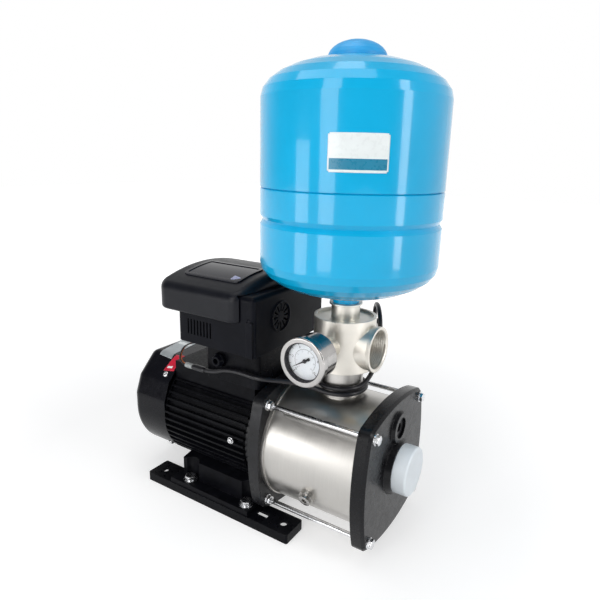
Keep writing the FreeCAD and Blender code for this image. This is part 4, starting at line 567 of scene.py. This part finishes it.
def hex_bolt(mesh, place, radius, height, low, shank, reach):
    """Hexagon head with bevelled corners and a round face, on a shank that goes down from the seat."""
    top = low + height
    levels = [low, low + 0.0003, low + 0.0008, top - 0.0012, top - 0.0007, top - 0.0003, top]
    profile = [(radius, z) for z in levels] + [(radius * 0.8, top + 0.0001)]
    rings = lathe(mesh, profile, place, 96, hexagon(radius, low, top))
    cap_ends(mesh, rings[-1])
    foot = low - reach
    ends = lathe(mesh, [(shank * 0.8, foot), (shank, foot + shank * 0.2), (shank, low + 0.0005)], place, 32)
    cap_ends(mesh, ends[0])


def ring(mesh, place, inner, outer, low, high, round_edge):
    """Washer with softened edges."""
    middle = (inner, (low + high) / 2)
    profile = [middle, (inner, low), (outer, low), (outer, high), (inner, high), middle]
    lathe(mesh, rounded(profile, round_edge, 3), place, 56)


def pan_head(mesh, place, radius, height, steps=48):
    """Pan-head screw with a cross recess."""
    shares = ((0.96, 0), (1, 0.25), (0.98, 0.5), (0.86, 0.8), (0.6, 0.96), (0.42, 1))
    rings = lathe(mesh, [(radius * r, height * z) for r, z in shares], place, steps)
    edge, floor = [], []
    for k in range(steps):
        quarter = (k / steps * 4) % 1
        arm = radius * (0.42 if min(quarter, 1 - quarter) < 0.13 else 0.16)
        angle = 2 * math.pi * k / steps
        for row, share in ((edge, 0.99), (floor, 0.49)):
            spot = Vector((arm * math.cos(angle), arm * math.sin(angle), height * share))
            row.append(mesh.verts.new(place @ spot))
    strip(mesh, rings[-1], edge)
    strip(mesh, edge, floor)
    mesh.faces.new(floor)


# Bolts of the foot, each turned its own way on a spring washer that its head sinks into by a hair
FOOT_BOLT_X, FOOT_BOLT_Y = (-0.048, 0.047), (-0.075, 0.075)
SPRING_HEIGHT, SINK = 0.0016, 0.0001
low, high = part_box("foot_bolts")
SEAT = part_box("foot_washers")[1][2]
bolts, spring = bmesh.new(), bmesh.new()
for x in FOOT_BOLT_X:
    for y in FOOT_BOLT_Y:
        spot = Matrix.Translation((x, y, SEAT)) @ Matrix.Rotation(0.3 + 7 * x, 4, "Z")
        hex_bolt(bolts, spot, radius=0.0075, height=high[2] - SEAT - SPRING_HEIGHT, low=SPRING_HEIGHT - SINK,
                 shank=0.004, reach=SEAT - low[2] + SPRING_HEIGHT - 2 * SINK)
        ring(spring, spot, 0.0041, 0.0068, 0, SPRING_HEIGHT, 0.0003)
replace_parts(piece("foot_bolt_heads", bolts, "pump_unit", "zinc"), "foot_bolts")
piece("foot_spring_washers", spring, "pump_unit", "zinc")

# Tie rods of the pump, with a hexagon head on the end cover and a washer and nut on the motor's flange
STAY_Y, STAY_Z = (-0.064, 0.064), (0.031, 0.159)
FLANGE_FACE, NUT_R = 0.072, 0.0057
low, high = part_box("stay_bolts")
COVER_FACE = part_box("stay_washers")[1][0]
rods, nuts = bmesh.new(), bmesh.new()
for y in STAY_Y:
    for z in STAY_Z:
        spun = Matrix.Rotation(5 * y + 9 * z, 4, "Z")
        spot = Matrix.Translation((COVER_FACE, y, z)) @ facing((1, 0, 0)) @ spun
        hex_bolt(rods, spot, radius=0.0058, height=high[0] - COVER_FACE, low=0, shank=0.003,
                 reach=COVER_FACE - low[0])
        spot = Matrix.Translation((FLANGE_FACE, y, z)) @ facing((1, 0, 0)) @ Matrix.Rotation(z * 8, 4, "Z")
        ring(nuts, spot, 0.0031, 0.0064, 0, 0.0012, 0.0003)
        lathe(nuts, [(0.0031, 0.0012), (NUT_R, 0.0012), (NUT_R, 0.002), (NUT_R, 0.0052), (NUT_R, 0.006),
                     (0.0045, 0.0061), (0.0031, 0.0055)], spot, 96, hexagon(NUT_R, 0.0012, 0.006))
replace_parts(piece("tie_rods", rods, "pump_unit", "zinc"), "stay_bolts")
piece("tie_rod_nuts", nuts, "pump_unit", "zinc")

# Screws of the fan cover: the upper two sit further out than the lower two
SCREW_X = -0.108
screws = bmesh.new()
for side in (-1, 1):
    for up, reach in ((1, 0.07778), (-1, 0.0715)):
        out = Vector((0, side, up)).normalized()
        spot = Matrix.Translation(Vector((SCREW_X, 0, SHAFT_Z)) + out * reach) @ facing(out)
        pan_head(screws, spot, 0.004, 0.0026)
        stem = lathe(screws, [(0.0005, -0.009), (0.002, -0.008), (0.002, 0.0003)], spot, 24)
        cap_ends(screws, stem[0])
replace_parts(piece("cover_screws", screws, "pump_unit", "zinc"), "fan_cover_screws")

# Bare rating plate on the flat top of the fan cover, and a bare red tag over its edge
TOP, EDGE, KNEE = 0.171, 0.02903, 0.012
PLATE_LIFT, PLATE_THICK = 0.00012, 0.00018


def cover_point(x, run, lift):
    """Point on the fan cover: run is the way round from the middle of its top, towards the gauge side."""
    if run <= EDGE:
        return Vector((x, -run, TOP + lift))
    turned = min((run - EDGE) / KNEE, math.pi / 4)
    along = max(run - EDGE - KNEE * math.pi / 4, 0) * math.sqrt(0.5)
    return Vector((x, -EDGE - (KNEE + lift) * math.sin(turned) - along,
                   TOP - KNEE + (KNEE + lift) * math.cos(turned) - along))


def sheet_label(name, corners, finish, border, cols=26, rows=40, round_corner=0.0015):
    """Thin label on the fan cover between four (x, run) corners, with rounded corners."""
    (x00, s00), (x01, s01), (x10, s10), (x11, s11) = corners
    wide, high = abs(x01 - x00), abs(s10 - s00)
    sheet = bmesh.new()
    points = []
    for i in range(rows + 1):
        v, line = i / rows, []
        for j in range(cols + 1):
            u = j / cols
            x = (x00 * (1 - u) + x01 * u) * (1 - v) + (x10 * (1 - u) + x11 * u) * v
            run = (s00 * (1 - u) + s01 * u) * (1 - v) + (s10 * (1 - u) + s11 * u) * v
            line.append(cover_point(x, run, PLATE_LIFT))
        points.append(line)

    def inside(i, j):
        return in_round_corners((j + 0.5) / cols * wide, (i + 0.5) / rows * high, wide, high, round_corner)

    grid(sheet, points, inside, border)
    thicken(piece(name, sheet, "pump_unit", finish), PLATE_THICK)


sheet_label("rating_plate", [(-0.1375, 0.0385), (-0.1135, 0.0405), (-0.1490, -0.0165), (-0.1200, -0.0165)],
            ["label_silver", "label_white"],
            border=lambda i, j: 1 if 30 <= i <= 35 and 2 <= j <= 23 else 0)
sheet_label("red_tag", [(-0.1160, 0.0590), (-0.0985, 0.0560), (-0.1100, 0.0315), (-0.0968, 0.0285)],
            ["label_red", "label_white"], cols=20, rows=26,
            border=lambda i, j: 1 if 4 <= i <= 6 and 3 <= j <= 12 else 0)


def landed(node_name, point, direction, lift):
    """Point on a CAD surface, met from outside along a direction, raised a little off it."""
    start = Vector(point) - Vector(direction) * 0.05
    hit, place, normal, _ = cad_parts[node_name].ray_cast(start, Vector(direction))
    assert hit, (node_name, tuple(point))
    return place + normal * lift


# Key on the control panel: a low three-cornered pad with rounded corners and a sloping edge
ABOVE_PANEL, CORNER_SHARE = 0.32, 0.18
key = bmesh.new()
corners = [Vector((0.0185, -0.0690, 0)), Vector((0.0300, -0.0600, 0)), Vector((0.0170, -0.0560, 0))]
middle = sum(corners, Vector()) / 3
loops = []
for share, lift in ((1, 0.00002), (1, 0.0003), (0.9, 0.0005)):
    outline = []
    for k, corner in enumerate(corners):
        before, after = corners[k - 1], corners[(k + 1) % 3]
        for t in (0, 0.25, 0.5, 0.75, 1):
            a = corner.lerp(before, CORNER_SHARE * (1 - t)).lerp(corner.lerp(after, CORNER_SHARE * t), t)
            spot = middle + (a - middle) * share
            place = landed("control_panel", (spot.x, spot.y, ABOVE_PANEL), (0, 0, -1), lift)
            outline.append(key.verts.new(place))
    loops.append(outline)
for first, second in zip(loops, loops[1:]):
    strip(key, first, second)
key.faces.new(loops[-1])
piece("panel_key", key, "pump_unit", "lavender", smooth=False)

# Needle of the gauge with a hub and a counterweight, at the angle of the photograph
NEEDLE_ANGLE = math.radians(211)
NEEDLE_OUTLINE = [(0.0194, 0.0), (0.0, 0.0010), (-0.0035, 0.0011), (-0.0042, 0.0016), (-0.0070, 0.0016),
                  (-0.0070, -0.0016), (-0.0042, -0.0016), (-0.0035, -0.0011), (0.0, -0.0010)]


def on_needle(along, across, lift):
    return Vector((GAUGE.x + along * math.cos(NEEDLE_ANGLE) - across * math.sin(NEEDLE_ANGLE), DIAL_Y - lift,
                   GAUGE.z + along * math.sin(NEEDLE_ANGLE) + across * math.cos(NEEDLE_ANGLE)))


needle = bmesh.new()
back, front = [[needle.verts.new(on_needle(along, across, lift)) for along, across in NEEDLE_OUTLINE]
               for lift in (0.0009, 0.0014)]
strip(needle, back, front)
cap_ends(needle, back, front)
hub = Matrix.Translation((GAUGE.x, DIAL_Y, GAUGE.z)) @ facing((0, -1, 0))
rings = lathe(needle, [(0.0008, 0.0001), (0.0022, 0.0008), (0.0024, 0.0016), (0.0021, 0.0021),
                       (0.0012, 0.0023), (0.0010, 0.0019)], hub, 40)
cap_ends(needle, rings[0], rings[-1])
needle = piece("gauge_needle", needle, "pointer", "ink", smooth=False)
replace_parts(needle, "gauge_pointer")

# Dark ring between the bezel and the glass: part gasket, part painted shade of the recess round the dial
seal_and_shade = bmesh.new()
lathe(seal_and_shade, [(0.02175, 0.0866), (0.0209, 0.0866), (0.0206, 0.0872), (0.0208, 0.0931), (0.02175, 0.0934)],
      Matrix.Translation((GAUGE.x, 0, GAUGE.z)) @ facing((0, -1, 0)), 96)
piece("gauge_seal_and_painted_shade", seal_and_shade, "pump_unit", "ink")

# Low rib at the corner of the drive's box, with sloping ends
RIB_X, BOX_FRONT = 0.0600, -0.0891
RIB_PROFILE = [(0, 0), (0.0004, 0.0005), (0.0014, 0.0009), (0.005, 0.0009), (0.006, 0.0005), (0.0064, 0)]
RIB_ENDS = ((0.2245, 0), (0.2253, 0.8), (0.2266, 1), (0.2670, 1), (0.2685, 0.8), (0.2695, 0))
rib = bmesh.new()
grid(rib, [[Vector((RIB_X + u, BOX_FRONT - v * share, z)) for u, v in RIB_PROFILE] for z, share in RIB_ENDS])
piece("box_corner_rib", rib, "pump_unit", "black_plastic")

# Screw on the motor's side, with its washer, on a small boss between the fins
spot = Matrix.Translation((0.020, -0.0722, 0.0985)) @ facing((0, -1, 0))
screw = bmesh.new()
pan_head(screw, spot, 0.0036, 0.0026)
stem = lathe(screw, [(0.0016, -0.004), (0.0016, 0.0003)], spot, 24)
cap_ends(screw, stem[0])
ring(screw, spot, 0.0019, 0.0044, -0.0008, 0.0001, 0.0002)
piece("earth_screw", screw, "pump_unit", "zinc")
boss = bmesh.new()
lathe(boss, [(0.0062, -0.0088), (0.0056, -0.0040), (0.0052, -0.0012), (0.0049, -0.0008), (0.0017, -0.0008)],
      spot, 48)
piece("earth_screw_boss", boss, "pump_unit", "fin_paint")

# Tank's paint on its neck
neck = bmesh.new()
neck_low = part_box("tank_collar")[0][2]
lathe(neck, rounded([(0.0150, neck_low + 0.0002), (0.0153, neck_low + 0.0004), (0.0153, 0.2925),
                     (0.0175, 0.2945)], 0.0004), Matrix.Translation(TANK), 72)
piece("tank_neck_paint", neck, "pump_unit", "tank_paint")


# Floor, lights and surroundings

def seen_directly(tree):
    """1 for what the camera sees, also by way of metal or glass, and 0 for what lights the object."""
    path = node(tree, "ShaderNodeLightPath")
    seen = calculated(tree, "ADD", path.outputs["Is Camera Ray"], path.outputs["Is Glossy Ray"])
    return calculated(tree, "ADD", seen, path.outputs["Is Transmission Ray"], clamp=True)


FLOOR_REACH, FLOOR_Z = 6, -0.0002
lines = (-FLOOR_REACH, 0, FLOOR_REACH)
plane = bmesh.new()
grid(plane, [[Vector((x, y, FLOOR_Z)) for x in lines] for y in lines])
floor_data = bpy.data.meshes.new("floor")
plane.to_mesh(floor_data)
plane.free()
floor = bpy.data.objects.new("floor", floor_data)
bpy.context.scene.collection.objects.link(floor)
floor_finish = surface("floor", (0.62, 0.62, 0.62), 0.8, shade=0.01, patch=2, rough_spread=0.03, grain=200,
                       bump=0.02, round_edge=0, specular=0.1)
floor_data.materials.append(floor_finish)

# The floor turns to plain white away from the object, between these distances
NEAR_FLOOR, FAR_FLOOR = 0.35, 1.3
tree = floor_finish.node_tree
far = node(tree, "ShaderNodeVectorMath", operation="LENGTH")
tree.links.new(object_coords(tree), far.inputs[0])
whiter = spread_of(tree, far.outputs["Value"], 0.5, 1, NEAR_FLOOR, FAR_FLOOR)
glow = calculated(tree, "MULTIPLY", whiter, seen_directly(tree))
shader = tree.nodes["Principled BSDF"]
shader.inputs["Emission Color"].default_value = (1, 1, 1, 1)
tree.links.new(glow, shader.inputs["Emission Strength"])


def wall_tone(tree):
    """White for the camera. For metal and glass, white round the object and darker overhead and near by."""
    axes = node(tree, "ShaderNodeSeparateXYZ")
    tree.links.new(node(tree, "ShaderNodeTexCoord").outputs["Generated"], axes.inputs[0])
    near = spread_of(tree, axes.outputs["Y"], 0.28, 1, -0.35, 0.25)
    overhead = spread_of(tree, axes.outputs["Z"], 1, 0.3, 0.25, 0.85)
    tone = calculated(tree, "MULTIPLY", near, overhead)
    camera_ray = node(tree, "ShaderNodeLightPath").outputs["Is Camera Ray"]
    return calculated(tree, "MAXIMUM", tone, camera_ray)


world = bpy.data.worlds.new("studio")
bpy.context.scene.world = world
world.use_nodes = True
tree = world.node_tree
tree.nodes.clear()
room = node(tree, "ShaderNodeBackground", Strength=0.37, Color=(0.95, 0.97, 1, 1))
white = node(tree, "ShaderNodeBackground", Color=(1, 1, 1, 1))
tree.links.new(wall_tone(tree), white.inputs["Strength"])
choose = node(tree, "ShaderNodeMixShader")
for socket, source in enumerate((seen_directly(tree), room.outputs[0], white.outputs[0])):
    tree.links.new(source, choose.inputs[socket])
tree.links.new(choose.outputs[0], node(tree, "ShaderNodeOutputWorld").inputs["Surface"])


def lamp(name, place, target, size, power, colour=(1, 1, 1)):
    """Soft rectangular light aimed at a point."""
    data = bpy.data.lights.new(name, "AREA")
    data.shape = "RECTANGLE"
    data.size, data.size_y = size
    data.energy = power
    data.color = colour
    made = bpy.data.objects.new(name, data)
    bpy.context.scene.collection.objects.link(made)
    made.matrix_world = Matrix.Translation(place) @ facing(Vector(place) - Vector(target))
    made.visible_camera = False


lamp("window_left", (0.13, -1.05, 0.62), (0.12, 0, 0.28), (0.36, 1.1), 5.4, (1, 0.99, 0.98))
lamp("window_right", (1.15, -0.08, 0.60), (0.12, 0, 0.28), (0.2, 1.0), 4.2)
lamp("window_low", (-0.44, -0.98, 0.28), (0.13, -0.06, 0.11), (0.34, 0.42), 1.9)
lamp("ceiling", (-0.1, -0.1, 1.55), (0.0, 0, 0.2), (0.9, 0.9), 5.6)
